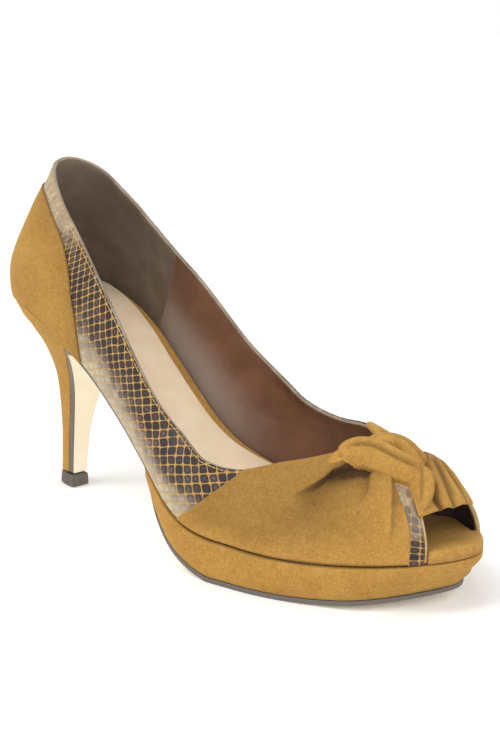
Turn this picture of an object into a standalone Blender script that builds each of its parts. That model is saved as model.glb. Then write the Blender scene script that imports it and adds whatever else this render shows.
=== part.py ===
# High heeled peep-toe shoe for the right foot: platform, covered heel, knotted vamp.
# The last points along +X with its toe, +Y is the inner side of the foot, +Z is up.
import math

import bmesh
import bpy
import numpy as np
from mathutils import Vector

MM = 0.001

# Driving sizes of the last
LAST_LENGTH = 225 * MM
BALL_WIDTH = 80 * MM
SEAT_HEIGHT = 86.3 * MM
PLATFORM_HEIGHT = 16.1 * MM
TOE_LIFT = 4.3 * MM
COLLAR_HEIGHT = 142.5 * MM
INSTEP_HEIGHT = 43 * MM
HEEL_ROUND_LENGTH = 29.25 * MM
TOE_ROUND_START = 0.69
TOE_OPENING = 0.962
THROAT = 0.80

# Walls, plates and clearances
WALL = 1.6 * MM
OVERLAY = 0.7 * MM
GAP = 0.3 * MM
INSOLE_THICKNESS = 2.4 * MM
TOE_PAD_THICKNESS = 4.6 * MM
SOCK_THICKNESS = 1.0 * MM
OUTSOLE_THICKNESS = 1.8 * MM
FLAP_THICKNESS = 3.0 * MM
SOLE_EDGE = 0.9 * MM
TOE_SPRING = 7.2 * MM
TOP_PIECE_LENGTH = 11.4 * MM
TOP_PIECE_WIDTH = 8.6 * MM
TOP_PIECE_HEIGHT = 5.3 * MM

COLOURS = {
    "suede": ((0.48, 0.262, 0.058), 0.9),
    "snake": ((0.16, 0.12, 0.08), 0.5),
    "insole_suede": ((0.40, 0.21, 0.05), 0.9),
    "sock_leather": ((0.79, 0.62, 0.42), 0.5),
    "sole_leather": ((0.72, 0.58, 0.40), 0.5),
    "top_piece_rubber": ((0.14, 0.12, 0.10), 0.7),
}


def table(rows):
    """Columns of a table whose first row names them."""
    names, body = rows[0], np.array(rows[1:], float)
    return {name: body[:, i] for i, name in enumerate(names)}


def curve(x, xs, ys):
    """Smooth curve through the rows of a table, flat beyond its ends."""
    x = np.clip(np.asarray(x, float), xs[0], xs[-1])
    step = np.diff(xs)
    slope = np.diff(ys) / step
    inner = (slope[:-1] * step[1:] + slope[1:] * step[:-1]) / (step[1:] + step[:-1])
    tangent = np.concatenate([[slope[0]], inner, [slope[-1]]])
    i = np.clip(np.searchsorted(xs, x, side="right") - 1, 0, len(step) - 1)
    t = (x - xs[i]) / step[i]
    a = ys[i] * (1 + 2 * t) * (1 - t) ** 2 + ys[i + 1] * t * t * (3 - 2 * t)
    return a + step[i] * (tangent[i] * t * (1 - t) ** 2 - tangent[i + 1] * t * t * (1 - t))


# Feather line in plan: half width and sideways shift, as shares of the ball width
OUTLINE = table([
    ("x", "half", "shift"),
    (0.00, 0.349, 0.000),
    (0.08, 0.323, -0.004),
    (0.20, 0.340, -0.030),
    (0.33, 0.313, -0.047),
    (0.45, 0.328, -0.069),
    (0.57, 0.449, -0.032),
    (0.69, 0.500, 0.055),
    (0.82, 0.488, 0.136),
    (1.00, 0.425, 0.201),
])

# Feather line from the side, from 0 at the platform to 1 at the heel seat
FEATHER = table([
    ("x", "height"),
    (0.00, 1.000),
    (0.12, 0.953),
    (0.25, 0.774),
    (0.37, 0.492),
    (0.49, 0.197),
    (0.60, 0.031),
    (0.70, 0.000),
    (1.00, 0.000),
])

# Topline: heights from 0 at the platform to 1 at the collar, half widths as shares of the ball width
TOPLINE = table([
    ("x", "outer_height", "inner_height", "outer_half", "inner_half"),
    (0.091, 1.000, 1.000, 0.215, 0.250),
    (0.130, 0.968, 0.952, 0.220, 0.258),
    (0.160, 0.917, 0.903, 0.223, 0.264),
    (0.210, 0.823, 0.838, 0.228, 0.270),
    (0.260, 0.740, 0.776, 0.248, 0.276),
    (0.310, 0.652, 0.713, 0.268, 0.285),
    (0.370, 0.545, 0.638, 0.286, 0.305),
    (0.420, 0.450, 0.563, 0.296, 0.325),
    (0.480, 0.340, 0.468, 0.308, 0.340),
    (0.540, 0.268, 0.392, 0.330, 0.346),
    (0.600, 0.222, 0.338, 0.355, 0.340),
])

# Topline over the vamp, from the feather line at 0 to the crest at 1
THROAT_LINE = table([
    ("x", "outer", "inner"),
    (0.560, 0.50, 0.80),
    (0.620, 0.56, 0.83),
    (0.680, 0.64, 0.86),
    (0.720, 0.75, 0.91),
    (0.760, 0.89, 0.96),
    (0.800, 1.00, 1.00),
])

# Crest of the last above the feather line, as a share of the instep height
CREST = table([
    ("x", "height", "shift"),
    (0.000, 3.570, 0.000),
    (0.200, 3.000, 0.000),
    (0.350, 2.260, 0.000),
    (0.500, 1.500, 0.010),
    (0.600, 1.140, 0.025),
    (0.675, 1.000, 0.031),
    (0.733, 0.965, 0.031),
    (0.764, 0.916, 0.031),
    (0.800, 0.850, 0.031),
    (0.844, 0.756, 0.028),
    (0.889, 0.663, 0.022),
    (0.929, 0.535, 0.015),
    (0.960, 0.405, 0.008),
    (1.000, 0.200, 0.000),
])

# Back curve of the counter: how far it stands forward of the feather point, share of the last length
BACK_CURVE = table([
    ("w", "forward"),
    (0.00, 0.0000),
    (0.04, -0.0030),
    (0.12, -0.0065),
    (0.22, -0.0040),
    (0.33, 0.0085),
    (0.475, 0.0290),
    (0.63, 0.0510),
    (0.774, 0.0705),
    (0.95, 0.0875),
    (1.00, 0.0911),
])

# How far each line across the wall leans forward from feather line to topline, share of the length
LEAN = table([
    ("x", "forward"),
    (0.13, 0.074),
    (0.30, 0.062),
    (0.45, 0.085),
    (0.57, 0.107),
    (0.70, 0.071),
    (0.80, 0.027),
    (0.90, -0.035),
    (0.962, -0.082),
])


def outline(x):
    """Half width and centre of the feather line at plan position x."""
    s = np.clip(x / LAST_LENGTH, 0, 1)
    half = curve(s, OUTLINE["x"], OUTLINE["half"]) * BALL_WIDTH
    a = HEEL_ROUND_LENGTH / LAST_LENGTH
    heel = np.sqrt(np.maximum(1 - np.clip(1 - s / a, 0, 1) ** 2, 0))
    u = np.clip((s - TOE_ROUND_START) / (1 - TOE_ROUND_START), 0, 1)
    toe = np.maximum(1 - u ** 2.4, 0) ** (1 / 1.9)
    return half * heel * toe, curve(s, OUTLINE["x"], OUTLINE["shift"]) * BALL_WIDTH


def feather_height(x):
    """Height of the feather line at plan position x."""
    s = x / LAST_LENGTH
    rise = TOE_LIFT * np.clip((s - 0.74) / 0.26, 0, 1) ** 2
    share = curve(s, FEATHER["x"], FEATHER["height"])
    return PLATFORM_HEIGHT + share * (SEAT_HEIGHT - PLATFORM_HEIGHT) + rise


def smooth(t):
    t = np.clip(t, 0, 1)
    return t * t * (3 - 2 * t)


def topline_angle(side, x):
    """Angle over the last's arch at which the topline runs, a quarter turn at the crest."""
    s = x / LAST_LENGTH
    name = "outer" if side < 0 else "inner"
    crest = curve(s, CREST["x"], CREST["height"]) * INSTEP_HEIGHT
    share = curve(s, TOPLINE["x"], TOPLINE[name + "_height"])
    low = PLATFORM_HEIGHT + share * (COLLAR_HEIGHT - PLATFORM_HEIGHT) - feather_height(x)
    by_height = np.clip(low / crest, 0.02, 1)
    by_arch = curve(s, THROAT_LINE["x"], THROAT_LINE[name])
    mix = smooth((s - 0.56) / 0.08)
    sine = by_height * (1 - mix) + by_arch * mix
    return np.arcsin(np.clip(sine, 0, 1)), crest


def wall_section(side, x, w):
    """Height and sideways place of the wall at plan position x, share w of the way up."""
    s = x / LAST_LENGTH
    name = "outer" if side < 0 else "inner"
    half, centre = outline(np.maximum(x, HEEL_ROUND_LENGTH))
    ridge = centre + curve(s, CREST["x"], CREST["shift"]) * BALL_WIDTH
    reach = half + side * (centre - ridge)
    angle, crest = topline_angle(side, x)
    z = feather_height(x) + crest * np.sin(w * angle)
    arch = reach * np.maximum(np.cos(w * angle), 0) ** 0.8
    top_arch = reach * np.maximum(np.cos(angle), 0) ** 0.8
    wanted = curve(s, TOPLINE["x"], TOPLINE[name + "_half"]) * BALL_WIDTH
    free = 1 - smooth((s - 0.52) / 0.10)
    bulge = 0.022 * BALL_WIDTH * np.sin(math.pi * np.clip(w, 0, 1)) * free
    return ridge + side * (arch + (wanted - top_arch) * free * w ** 1.6 + bulge), z


def last_point(side, u, w):
    """Point on the last: u runs from the back of the heel at 0 to the toe opening at 1."""
    u, w = np.broadcast_arrays(np.asarray(u, float), np.asarray(w, float))
    turn = 0.14
    front = HEEL_ROUND_LENGTH + (u - turn) / (1 - turn) * (TOE_OPENING * LAST_LENGTH - HEEL_ROUND_LENGTH)
    front = np.maximum(front, HEEL_ROUND_LENGTH)
    lean = curve(front / LAST_LENGTH, LEAN["x"], LEAN["forward"]) * LAST_LENGTH
    late = smooth((front / LAST_LENGTH - 0.80) / 0.14)
    x_side = front + lean * w ** (1 + 1.5 * late)
    angle = np.clip(u / turn, 0, 1) * math.pi / 2
    x_back = curve(w, BACK_CURVE["w"], BACK_CURVE["forward"]) * LAST_LENGTH
    x = x_side - (x_side - x_back) * np.cos(angle)
    y_side, _ = wall_section(side, x_side, w)
    _, z = wall_section(side, x, w)
    return np.stack([x, y_side * np.sin(angle), z], -1)


def last_normal(side, u, w):
    """Outward normal of the last."""
    e = 1e-4
    du = last_point(side, u + e, w) - last_point(side, u - e, w)
    dw = last_point(side, u, np.minimum(w + e, 1)) - last_point(side, u, np.maximum(w - e, 0))
    n = np.cross(du, dw) * -side
    return n / np.maximum(np.linalg.norm(n, axis=-1, keepdims=True), 1e-12)


def on_last(side, u, w, offset):
    """Point at a distance outside the last's surface."""
    offset = np.asarray(offset, float)[..., None]
    return last_point(side, u, w) + last_normal(side, u, w) * offset


# Making objects

def material(name):
    colour, rough = COLOURS[name]
    mat = bpy.data.materials.get(name) or bpy.data.materials.new(name)
    mat.use_nodes = True
    shader = mat.node_tree.nodes["Principled BSDF"]
    shader.inputs["Base Color"].default_value = (*colour, 1)
    shader.inputs["Roughness"].default_value = rough
    mat.diffuse_color = (*colour, 1)
    return mat


def finish(bm, name, finish_name, parent, collection):
    """Turn a closed bmesh into a named object."""
    bmesh.ops.remove_doubles(bm, verts=bm.verts, dist=1e-5)
    bmesh.ops.recalc_face_normals(bm, faces=bm.faces)
    mesh = bpy.data.meshes.new(name)
    bm.to_mesh(mesh)
    bm.free()
    mesh.shade_smooth()
    mesh.set_sharp_from_angle(angle=math.radians(35))
    mesh.materials.append(material(finish_name))
    obj = bpy.data.objects.new(name, mesh)
    collection.objects.link(obj)
    obj.parent = parent
    return obj


def loft(rings, caps=(True, True)):
    """Closed bmesh through rings of points; an end whose two sides meet needs no cap."""
    bm = bmesh.new()
    loops = [[bm.verts.new(Vector(p)) for p in ring] for ring in rings]
    for a, b in zip(loops, loops[1:]):
        for i in range(len(a)):
            j = (i + 1) % len(a)
            bm.faces.new((a[i], a[j], b[j], b[i]))
    for capped, loop in zip(caps, (loops[0], loops[-1])):
        if capped:
            bm.faces.new(loop)
    return bm


def shell(outer, inner, top_is_open):
    """Closed bmesh between two grids of points; the top rim is left out where the halves join."""
    bm = bmesh.new()
    out = [[bm.verts.new(Vector(p)) for p in col] for col in outer]
    inn = [[bm.verts.new(Vector(p)) for p in col] for col in inner]
    last = len(out[0]) - 1
    for i in range(len(out) - 1):
        for j in range(last):
            bm.faces.new((out[i][j], out[i + 1][j], out[i + 1][j + 1], out[i][j + 1]))
            bm.faces.new((inn[i][j], inn[i][j + 1], inn[i + 1][j + 1], inn[i + 1][j]))
        bm.faces.new((out[i][0], inn[i][0], inn[i + 1][0], out[i + 1][0]))
        if top_is_open[i]:
            bm.faces.new((out[i][last], out[i + 1][last], inn[i + 1][last], inn[i][last]))
    for i in (0, len(out) - 1):
        for j in range(last):
            bm.faces.new((out[i][j], out[i][j + 1], inn[i][j + 1], inn[i][j]))
    return bm


# Bottom of the shoe

# Sole leather down the breast of the heel: its front face and half width
FLAP = table([
    ("x", "z", "half", "centre"),
    (0.1391, 0.065, 0.051, 0.0),
    (0.1409, 0.177, 0.055, 0.0),
    (0.1453, 0.313, 0.064, 0.0),
    (0.1591, 0.498, 0.096, 0.1),
    (0.1756, 0.614, 0.144, 0.3),
    (0.1978, 0.713, 0.212, 0.6),
    (0.2222, 0.768, 0.275, 0.9),
    (0.2489, 0.780, 0.300, 1.0),
])

# Back of the heel beside each row of the flap, up to the seat
HEEL_BACK = table([
    ("x", "z", "round"),
    (0.0929, 0.065, 1.00),
    (0.0933, 0.185, 1.00),
    (0.0920, 0.325, 1.00),
    (0.0872, 0.516, 0.95),
    (0.0825, 0.643, 0.92),
    (0.0720, 0.765, 0.88),
    (0.0560, 0.872, 0.78),
    (0.0290, 0.958, 0.64),
])

# Sock inside the feather line, as shares of the ball width
SOCK_EDGE = table([
    ("x", "outer", "inner"),
    (0.00, 0.040, 0.040),
    (0.12, 0.040, 0.055),
    (0.25, 0.040, 0.082),
    (0.36, 0.040, 0.094),
    (0.46, 0.040, 0.084),
    (0.56, 0.040, 0.056),
    (0.66, 0.040, 0.042),
    (0.80, 0.040, 0.040),
])

# Top edge of the suede counter, share of the wall's height, by place along the feather line
COUNTER_EDGE = table([
    ("x", "w"),
    (0.000, 0.800),
    (0.060, 0.820),
    (0.100, 0.840),
    (0.135, 0.810),
    (0.165, 0.755),
    (0.195, 0.650),
    (0.220, 0.510),
    (0.245, 0.360),
    (0.266, 0.170),
    (0.280, 0.030),
])

PLATFORM_START = 0.456
FLAT_START = 0.64
FLAT_END = 0.74
TOE_UNDERCUT = 6.5 * MM
TRIM_WIDTH = 4.0 * MM
TRIM_SPREAD = 0.12
VAMP_EDGE = 0.57
HEEL_TURN = 0.14


def sole_line(x):
    """Height of the outsole's lower face under the waist and the platform."""
    s = x / LAST_LENGTH
    t = np.clip((s - PLATFORM_START) / (FLAT_START - PLATFORM_START), 0, 1)
    spring = TOE_SPRING * np.clip((s - FLAT_END) / (1 - FLAT_END), 0, 1) ** 2
    return (feather_height(x) - OUTSOLE_THICKNESS - GAP) * (1 - t) ** 1.15 + spring


def edge_x(v):
    """Plan position along the feather line, v from the heel at 0 to the toe tip at 1."""
    heel_end, toe_start = 0.15, 0.6
    a, b = HEEL_ROUND_LENGTH, TOE_ROUND_START * LAST_LENGTH
    heel = a * (1 - np.cos(np.clip(v / heel_end, 0, 1) * math.pi / 2))
    side = (b - a) * np.clip((v - heel_end) / (toe_start - heel_end), 0, 1)
    turn = np.clip((v - toe_start) / (1 - toe_start), 0, 1) * math.pi / 2
    return heel + side + (LAST_LENGTH - b) * np.sin(turn) ** (2 / 2.4)


def edge_point(side, v, inset):
    """Point of the feather line in plan, moved inwards along its normal."""
    e = 1e-3

    def raw(t):
        half, centre = outline(edge_x(t))
        return np.array([edge_x(t), centre + side * half])

    ahead = raw(min(v + e, 1)) - raw(max(v - e, 0))
    inward = np.array([ahead[1], -ahead[0]]) * side / np.linalg.norm(ahead)
    if v in (0, 1):
        inward = np.array([1 - 2 * v, 0])
    return raw(v) + inward * inset


def edge_share(x):
    """The value of v at which the feather line reaches x."""
    vs = np.linspace(0, 1, 400)
    return float(np.interp(x, edge_x(vs), vs))


def plate_ring(v, low, high, inset, rounding):
    """Cross section of a plate between two heights, with its upper edges eased."""
    ring = []
    for side, order in ((-1, (0, 1, 2)), (1, (2, 1, 0))):
        base = edge_point(side, v, inset(side, v))
        top = edge_point(side, v, inset(side, v) + rounding)
        three = ((base, low, 0), (base, high, -rounding), (top, high, 0))
        points = [(p[0], p[1], z(p[0]) + dz) for p, z, dz in three]
        ring += [points[i] for i in order]
    return ring


def make_insole():
    opening = TOE_OPENING * LAST_LENGTH

    inside = WALL + 3 * GAP
    past_trim = opening + GAP

    def inset(side, v):
        return inside if edge_x(v) < past_trim else GAP

    def top(x):
        pad = smooth((x / LAST_LENGTH - 0.82) / 0.08) * (TOE_PAD_THICKNESS - INSOLE_THICKNESS)
        return feather_height(x) + GAP + INSOLE_THICKNESS + pad

    stations = list(np.linspace(0, edge_share(past_trim) - 1e-4, 34)) + list(np.linspace(edge_share(past_trim + GAP), 1, 12))
    rings = [plate_ring(v, lambda x: feather_height(x) + GAP, top, inset, 0.9 * MM) for v in stations]
    return loft(rings, caps=(False, False))


def make_sock():
    base = GAP + INSOLE_THICKNESS + GAP

    def inset(side, v):
        share = curve(edge_x(v) / LAST_LENGTH, SOCK_EDGE["x"], SOCK_EDGE["outer" if side < 0 else "inner"])
        return float(share * BALL_WIDTH)

    rings = []
    for v in np.linspace(0, edge_share(THROAT * LAST_LENGTH), 29):
        rings.append(plate_ring(v, lambda x: feather_height(x) + base,
                                lambda x: feather_height(x) + base + SOCK_THICKNESS, inset, 0.3 * MM))
    return loft(rings, caps=(False, True))


def make_platform():
    start = edge_share((PLATFORM_START + 0.012) * LAST_LENGTH)
    rings = []
    for v in list(np.linspace(start, 0.94, 30)) + [0.955, 0.97, 0.985, 1]:
        s = edge_x(v) / LAST_LENGTH
        under = float(smooth((s - 0.86) / 0.14)) * TOE_UNDERCUT
        proud = SOLE_EDGE * float(smooth((s - PLATFORM_START) / 0.1) * (1 - 0.8 * smooth((s - 0.85) / 0.13)))
        ring = []
        for side, order in ((-1, (0, 1, 2, 3)), (1, (3, 2, 1, 0))):
            shape = ((under - 0.4 * proud, 0.0), (under * 0.55 - proud, 0.3), (-proud, 0.85), (0.0, 1.0))
            points = []
            for inset, up in shape:
                p = edge_point(side, v, inset)
                low = sole_line(p[0]) + OUTSOLE_THICKNESS + GAP
                points.append((p[0], p[1], low + (feather_height(p[0]) - low) * up))
            ring += [points[i] for i in order]
        rings.append(ring)
    return loft(rings, caps=(True, False))


def flap_row(i):
    """Centre, normal and half width of the flap's front face at one row."""
    x, z = FLAP["x"] * LAST_LENGTH, FLAP["z"] * SEAT_HEIGHT
    a, b = max(i - 1, 0), min(i + 1, len(x) - 1)
    along = np.array([x[b] - x[a], z[b] - z[a]])
    along /= np.linalg.norm(along)
    _, centre = outline(x[i])
    return x[i], z[i], (-along[1], along[0]), FLAP["half"][i] * BALL_WIDTH, centre * FLAP["centre"][i]


def make_outsole():
    rings = []
    for i in range(len(FLAP["x"])):
        x, z, (nx, nz), half, y = flap_row(i)
        t = FLAP_THICKNESS
        rings.append([(x, y - half, z), (x, y + half, z),
                      (x + nx * t, y + half, z + nz * t), (x + nx * t, y - half, z + nz * t)])
    start = edge_share(FLAP["x"][-1] * LAST_LENGTH + 4 * MM)
    for v in list(np.linspace(start, 0.94, 40)) + [0.955, 0.97, 0.985, 1]:
        s = edge_x(v) / LAST_LENGTH
        on_platform = float(smooth((s - PLATFORM_START) / 0.06))
        under = float(smooth((s - 0.86) / 0.14)) * TOE_UNDERCUT
        inset = 1.2 * MM * (1 - on_platform) - 0.3 * MM * on_platform + under
        ring = []
        for side, ups in ((-1, (1, 0)), (1, (0, 1))):
            p = edge_point(side, v, inset)
            ring += [(p[0], p[1], sole_line(p[0]) + up * OUTSOLE_THICKNESS) for up in ups]
        rings.append([ring[1], ring[2], ring[3], ring[0]])
    return loft(rings, caps=(True, False))


def d_shape(back, front, half, centre, roundness, count=9):
    """Closed loop with a round back and a flat front; back and front are (x, z)."""
    near, far = [], []
    for t in np.linspace(0, 1, count):
        share = 1 - math.cos(t * math.pi / 2)
        arc = min(share / roundness, 1)
        y = half * math.sqrt(max(1 - (1 - arc) ** 2, 0))
        x = back[0] + (front[0] - back[0]) * share
        z = back[1] + (front[1] - back[1]) * share
        near.append((x, centre - y, z))
        far.append((x, centre + y, z))
    return near[::-1] + far[1:]


def make_heel():
    rings = []
    for i in range(len(FLAP["x"])):
        x, z, (nx, nz), half, y = flap_row(i)
        t = FLAP_THICKNESS + GAP
        back = (HEEL_BACK["x"][i] * LAST_LENGTH, HEEL_BACK["z"][i] * SEAT_HEIGHT)
        rings.append(d_shape(back, (x + nx * t, z + nz * t), half, y, HEEL_BACK["round"][i]))
    count = len(rings[0]) // 2 + 1
    seat_front = FLAP["x"][-1] * LAST_LENGTH
    top = []
    for side, order in ((-1, range(count - 1, -1, -1)), (1, range(1, count))):
        for k in order:
            x = seat_front * (1 - math.cos(k / (count - 1) * math.pi / 2))
            half, centre = outline(x)
            top.append((x, centre + side * half, float(feather_height(x))))
    rings.append(top)
    return loft(rings)


def make_top_piece():
    x0 = HEEL_BACK["x"][0] * LAST_LENGTH - 0.6 * MM
    flare = 0.3 * MM
    rings = []
    for z, grow in ((0.0, flare), (TOP_PIECE_HEIGHT * 0.25, flare), (TOP_PIECE_HEIGHT, 0.0)):
        rings.append(d_shape((x0 - grow, z), (x0 + TOP_PIECE_LENGTH, z), TOP_PIECE_WIDTH / 2 + grow, 0.0, 0.9))
    return loft(rings)


# Upper, cut from the last's surface

def column_share(x):
    """The value of u whose line leaves the feather line at x."""
    span = TOE_OPENING * LAST_LENGTH - HEEL_ROUND_LENGTH
    return HEEL_TURN + (1 - HEEL_TURN) * (x - HEEL_ROUND_LENGTH) / span


def wall(columns, rows, outside, inside, row_top=None, spread=None):
    """Grids of a wall on the last: its outer and inner faces, each as an outer and an inner half."""
    us = np.array(columns)
    tops = np.ones(len(us)) if row_top is None else np.array([row_top(u) for u in us])
    w = np.linspace(0, 1, rows)[None, :] * tops[:, None]
    back = np.zeros(len(us)) if spread is None else np.array([spread(u) for u in us])
    u = us[:, None] - TRIM_SPREAD * w ** 4 * back[:, None]
    out = np.array([outside(x) for x in us])[:, None] + 0 * w
    grids = []
    for offset in (out, inside + 0 * w):
        halves = {}
        for side in (-1, 1):
            halves[side] = on_last(side, u, w, offset)
        closed = []
        for i, uu in enumerate(us):
            closed.append(row_top is None and top_x(uu) >= THROAT * LAST_LENGTH - 0.05 * MM)
            if closed[-1]:
                middle = (halves[-1][i, -1] + halves[1][i, -1]) / 2
                halves[-1][i, -1] = middle
                halves[1][i, -1] = middle
        grids.append((halves[-1], halves[1]))
    return us, grids, closed


def top_x(u):
    """Plan position of the upper end of a line across the wall."""
    return float(last_point(1, u, 1.0)[0])


def join_halves(us, grids, closed, lift):
    """One strip of columns from the outer side round the heel to the inner side."""
    strips = []
    for near, far in grids:
        back = us[0] == 0
        first = near[::-1]
        second = far[1:] if back else far
        strip = np.concatenate([first, second])
        strip = strip + np.array([0, 0, lift])
        strips.append(strip)
    flags = closed[::-1] + (closed[1:] if us[0] == 0 else closed)
    open_top = [not (a and b) for a, b in zip(flags, flags[1:])]
    return shell(strips[0], strips[1], open_top)


def heel_columns():
    """Lines across the wall from the back seam to the front of the counter."""
    front = column_share(COUNTER_EDGE["x"][-1] * LAST_LENGTH)
    return list(np.linspace(0, HEEL_TURN, 8)) + list(np.linspace(HEEL_TURN, front, 9))[1:]


def make_upper():
    vamp = column_share(VAMP_EDGE * LAST_LENGTH)
    trim = column_share(TOE_OPENING * LAST_LENGTH - TRIM_WIDTH)
    us = np.linspace(vamp, trim, 200)
    throat = float(np.interp(THROAT * LAST_LENGTH, [top_x(u) for u in us], us))
    edge = 0.25 * MM / LAST_LENGTH
    heel = heel_columns()
    columns = (heel + list(np.linspace(heel[-1], vamp - edge, 10))[1:]
               + list(np.linspace(vamp + edge, throat, 8))
               + [throat + (trim - throat) * (1 - (1 - t) ** 1.5) for t in np.linspace(0, 1, 11)[1:]])

    def outside(u):
        return OVERLAY if u > vamp else 0.0

    us, grids, closed = wall(columns, 13, outside, -WALL,
                             spread=lambda u: max(u - throat, 0) / (trim - throat))
    return join_halves(us, grids, closed, GAP)


def make_counter():
    def top(u):
        """Share of the wall's height under the counter's edge."""
        span = TOE_OPENING * LAST_LENGTH - HEEL_ROUND_LENGTH
        along = HEEL_ROUND_LENGTH + (u - HEEL_TURN) / (1 - HEEL_TURN) * span
        x = along if u >= HEEL_TURN else HEEL_ROUND_LENGTH * u / HEEL_TURN
        return float(curve(x / LAST_LENGTH, COUNTER_EDGE["x"], COUNTER_EDGE["w"]))

    us, grids, closed = wall(heel_columns(), 11, lambda u: 1.4 * GAP + OVERLAY, 1.4 * GAP, top)
    return join_halves(us, grids, closed, GAP)


def make_toe_trim():
    start = column_share(TOE_OPENING * LAST_LENGTH - TRIM_WIDTH + 2 * GAP)
    columns = list(np.linspace(start, 1, 4))
    us, grids, closed = wall(columns, 12, lambda u: 0.0, -WALL,
                             spread=lambda u: (1 - u) / (1 - start))
    near = [grid[0] for grid in grids]
    far = [grid[1] for grid in grids]
    outer = np.concatenate([near[0], far[0][:, ::-1][:, 1:]], axis=1) + np.array([0, 0, GAP])
    inner = np.concatenate([near[1], far[1][:, ::-1][:, 1:]], axis=1) + np.array([0, 0, GAP])
    return shell(outer, inner, [True] * (len(us) - 1))


# Knot on the vamp: x along the last, across from -1 at the outer feather line over 0 at the crest,
# lift above the last, width and thickness as shares of the knot's height, tilt in degrees
KNOT_HEIGHT = 11 * MM
KNOT_SEAT = OVERLAY + 3 * GAP
KNOT_BAND = table([
    ("x", "across", "lift", "width", "thick", "tilt"),
    (0.784, -0.37, 0.10, 0.70, 0.30, 10),
    (0.794, -0.29, 0.28, 0.90, 0.46, 25),
    (0.806, -0.20, 0.38, 1.05, 0.55, 40),
    (0.823, -0.15, 0.38, 1.10, 0.58, 46),
    (0.845, -0.14, 0.34, 1.10, 0.58, 44),
    (0.870, -0.13, 0.28, 1.05, 0.56, 40),
    (0.892, -0.09, 0.18, 0.95, 0.50, 30),
    (0.905, -0.02, 0.06, 0.80, 0.40, 10),
])
KNOT_LOOP = table([
    ("x", "across", "lift", "width", "thick", "tilt"),
    (0.807, -0.12, 0.10, 0.70, 0.45, 0),
    (0.816, -0.03, 0.30, 0.85, 0.66, 0),
    (0.832, 0.02, 0.32, 0.95, 0.68, 0),
    (0.854, 0.04, 0.26, 1.00, 0.66, 0),
    (0.877, 0.05, 0.16, 1.00, 0.60, 0),
    (0.898, 0.06, 0.08, 0.85, 0.46, 0),
])
KNOT_FAR_LOOP = table([
    ("x", "across", "lift", "width", "thick", "tilt"),
    (0.812, -0.04, 0.14, 0.50, 0.36, 0),
    (0.804, 0.03, 0.30, 0.60, 0.42, 0),
    (0.804, 0.11, 0.30, 0.62, 0.42, 0),
    (0.812, 0.19, 0.22, 0.62, 0.40, 0),
    (0.830, 0.25, 0.14, 0.62, 0.38, 0),
    (0.852, 0.28, 0.06, 0.60, 0.34, 0),
])

# Gathered wing that spreads from the knot to the toe opening
KNOT_WING = table([
    ("along", "left", "right", "thick"),
    (0.00, 0.00, 0.26, 0.16),
    (0.20, -0.01, 0.30, 0.25),
    (0.45, -0.06, 0.31, 0.24),
    (0.65, -0.18, 0.30, 0.19),
    (0.84, -0.33, 0.28, 0.16),
    (1.00, -0.44, 0.26, 0.14),
])
WING_START = 0.851
WING_LEFT_END = 0.940
WING_RIGHT_END = 0.962
WING_BOW = 0.010
WING_FOLDS = 4


def over_crest(x, across, lift):
    """Point above the last at a share of its length, and the last's outward normal there."""
    side = -1 if across < 0 else 1

    def raw(share, w):
        y, z = wall_section(side, share * LAST_LENGTH, w)
        return np.array([share * LAST_LENGTH, float(y), float(z)])

    w = 1 - abs(across)
    e = 1e-3
    n = np.cross(raw(x + e, w) - raw(x - e, w), raw(x, min(w + e, 1)) - raw(x, w - e)) * -side
    n /= np.linalg.norm(n)
    return raw(x, w) + n * lift, n


def strand(rows, stations=13, sides=12):
    """Closed tube with an oval section along a path above the vamp."""
    index = np.arange(len(rows["x"]), dtype=float)
    at = np.linspace(0, index[-1], stations)
    column = {name: curve(at, index, values) for name, values in rows.items()}
    path = [over_crest(x, a, lift * KNOT_HEIGHT) for x, a, lift in zip(column["x"], column["across"], column["lift"])]
    rings = []
    for i in range(stations):
        centre = Vector(path[i][0])
        along = (Vector(path[min(i + 1, stations - 1)][0]) - Vector(path[max(i - 1, 0)][0])).normalized()
        up = Vector(path[i][1])
        up = (up - up.dot(along) * along).normalized()
        wide = along.cross(up)
        tilt = math.radians(column["tilt"][i])
        wide, up = wide * math.cos(tilt) + up * math.sin(tilt), up * math.cos(tilt) - wide * math.sin(tilt)
        ring = []
        for k in range(sides):
            turn = 2 * math.pi * k / sides
            ring.append(centre + wide * (math.cos(turn) * column["width"][i] * KNOT_HEIGHT / 2)
                        + up * (math.sin(turn) * column["thick"][i] * KNOT_HEIGHT / 2))
        rings.append(ring)
    return loft(rings)


def wing():
    """Closed bmesh of the gathered wing, folded above and reaching down to where the vamp is cut away."""
    along = np.linspace(0, 1, 11)
    count = 21
    top, bottom = [], []
    for spread in along:
        left, right, thick = (curve(spread, KNOT_WING["along"], KNOT_WING[n]) for n in ("left", "right", "thick"))
        upper_row, lower_row = [], []
        for t in np.linspace(0, 1, count):
            across = float(left + (right - left) * t)
            end = WING_LEFT_END + (WING_RIGHT_END - WING_LEFT_END) * t + WING_BOW * math.sin(math.pi * t)
            x = WING_START + spread * (end - WING_START)
            crown = max(math.sin(math.pi * min(max(t, 0.02), 0.98)), 0) ** 0.5
            fold = 0.08 * spread * math.cos(2 * math.pi * WING_FOLDS * t) * crown
            upper_row.append(over_crest(x, across, KNOT_SEAT + (float(thick) * crown + fold) * KNOT_HEIGHT)[0])
            lower_row.append(over_crest(x, across, 0.0)[0])
        top.append(upper_row)
        bottom.append(lower_row)
    return shell(np.array(top), np.array(bottom), [True] * (len(along) - 1))


def clearance():
    """What the vamp, its trim and a small gap take up under the knot."""
    xs = np.linspace(0.73, 0.98, 26)
    across = np.linspace(-0.7, 0.7, 31)
    outer = np.array([[over_crest(x, a, KNOT_SEAT)[0] for a in across] for x in xs])
    inner = np.array([[over_crest(x, a, -3 * WALL)[0] for a in across] for x in xs])
    return shell(outer, inner, [True] * (len(xs) - 1))


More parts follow.
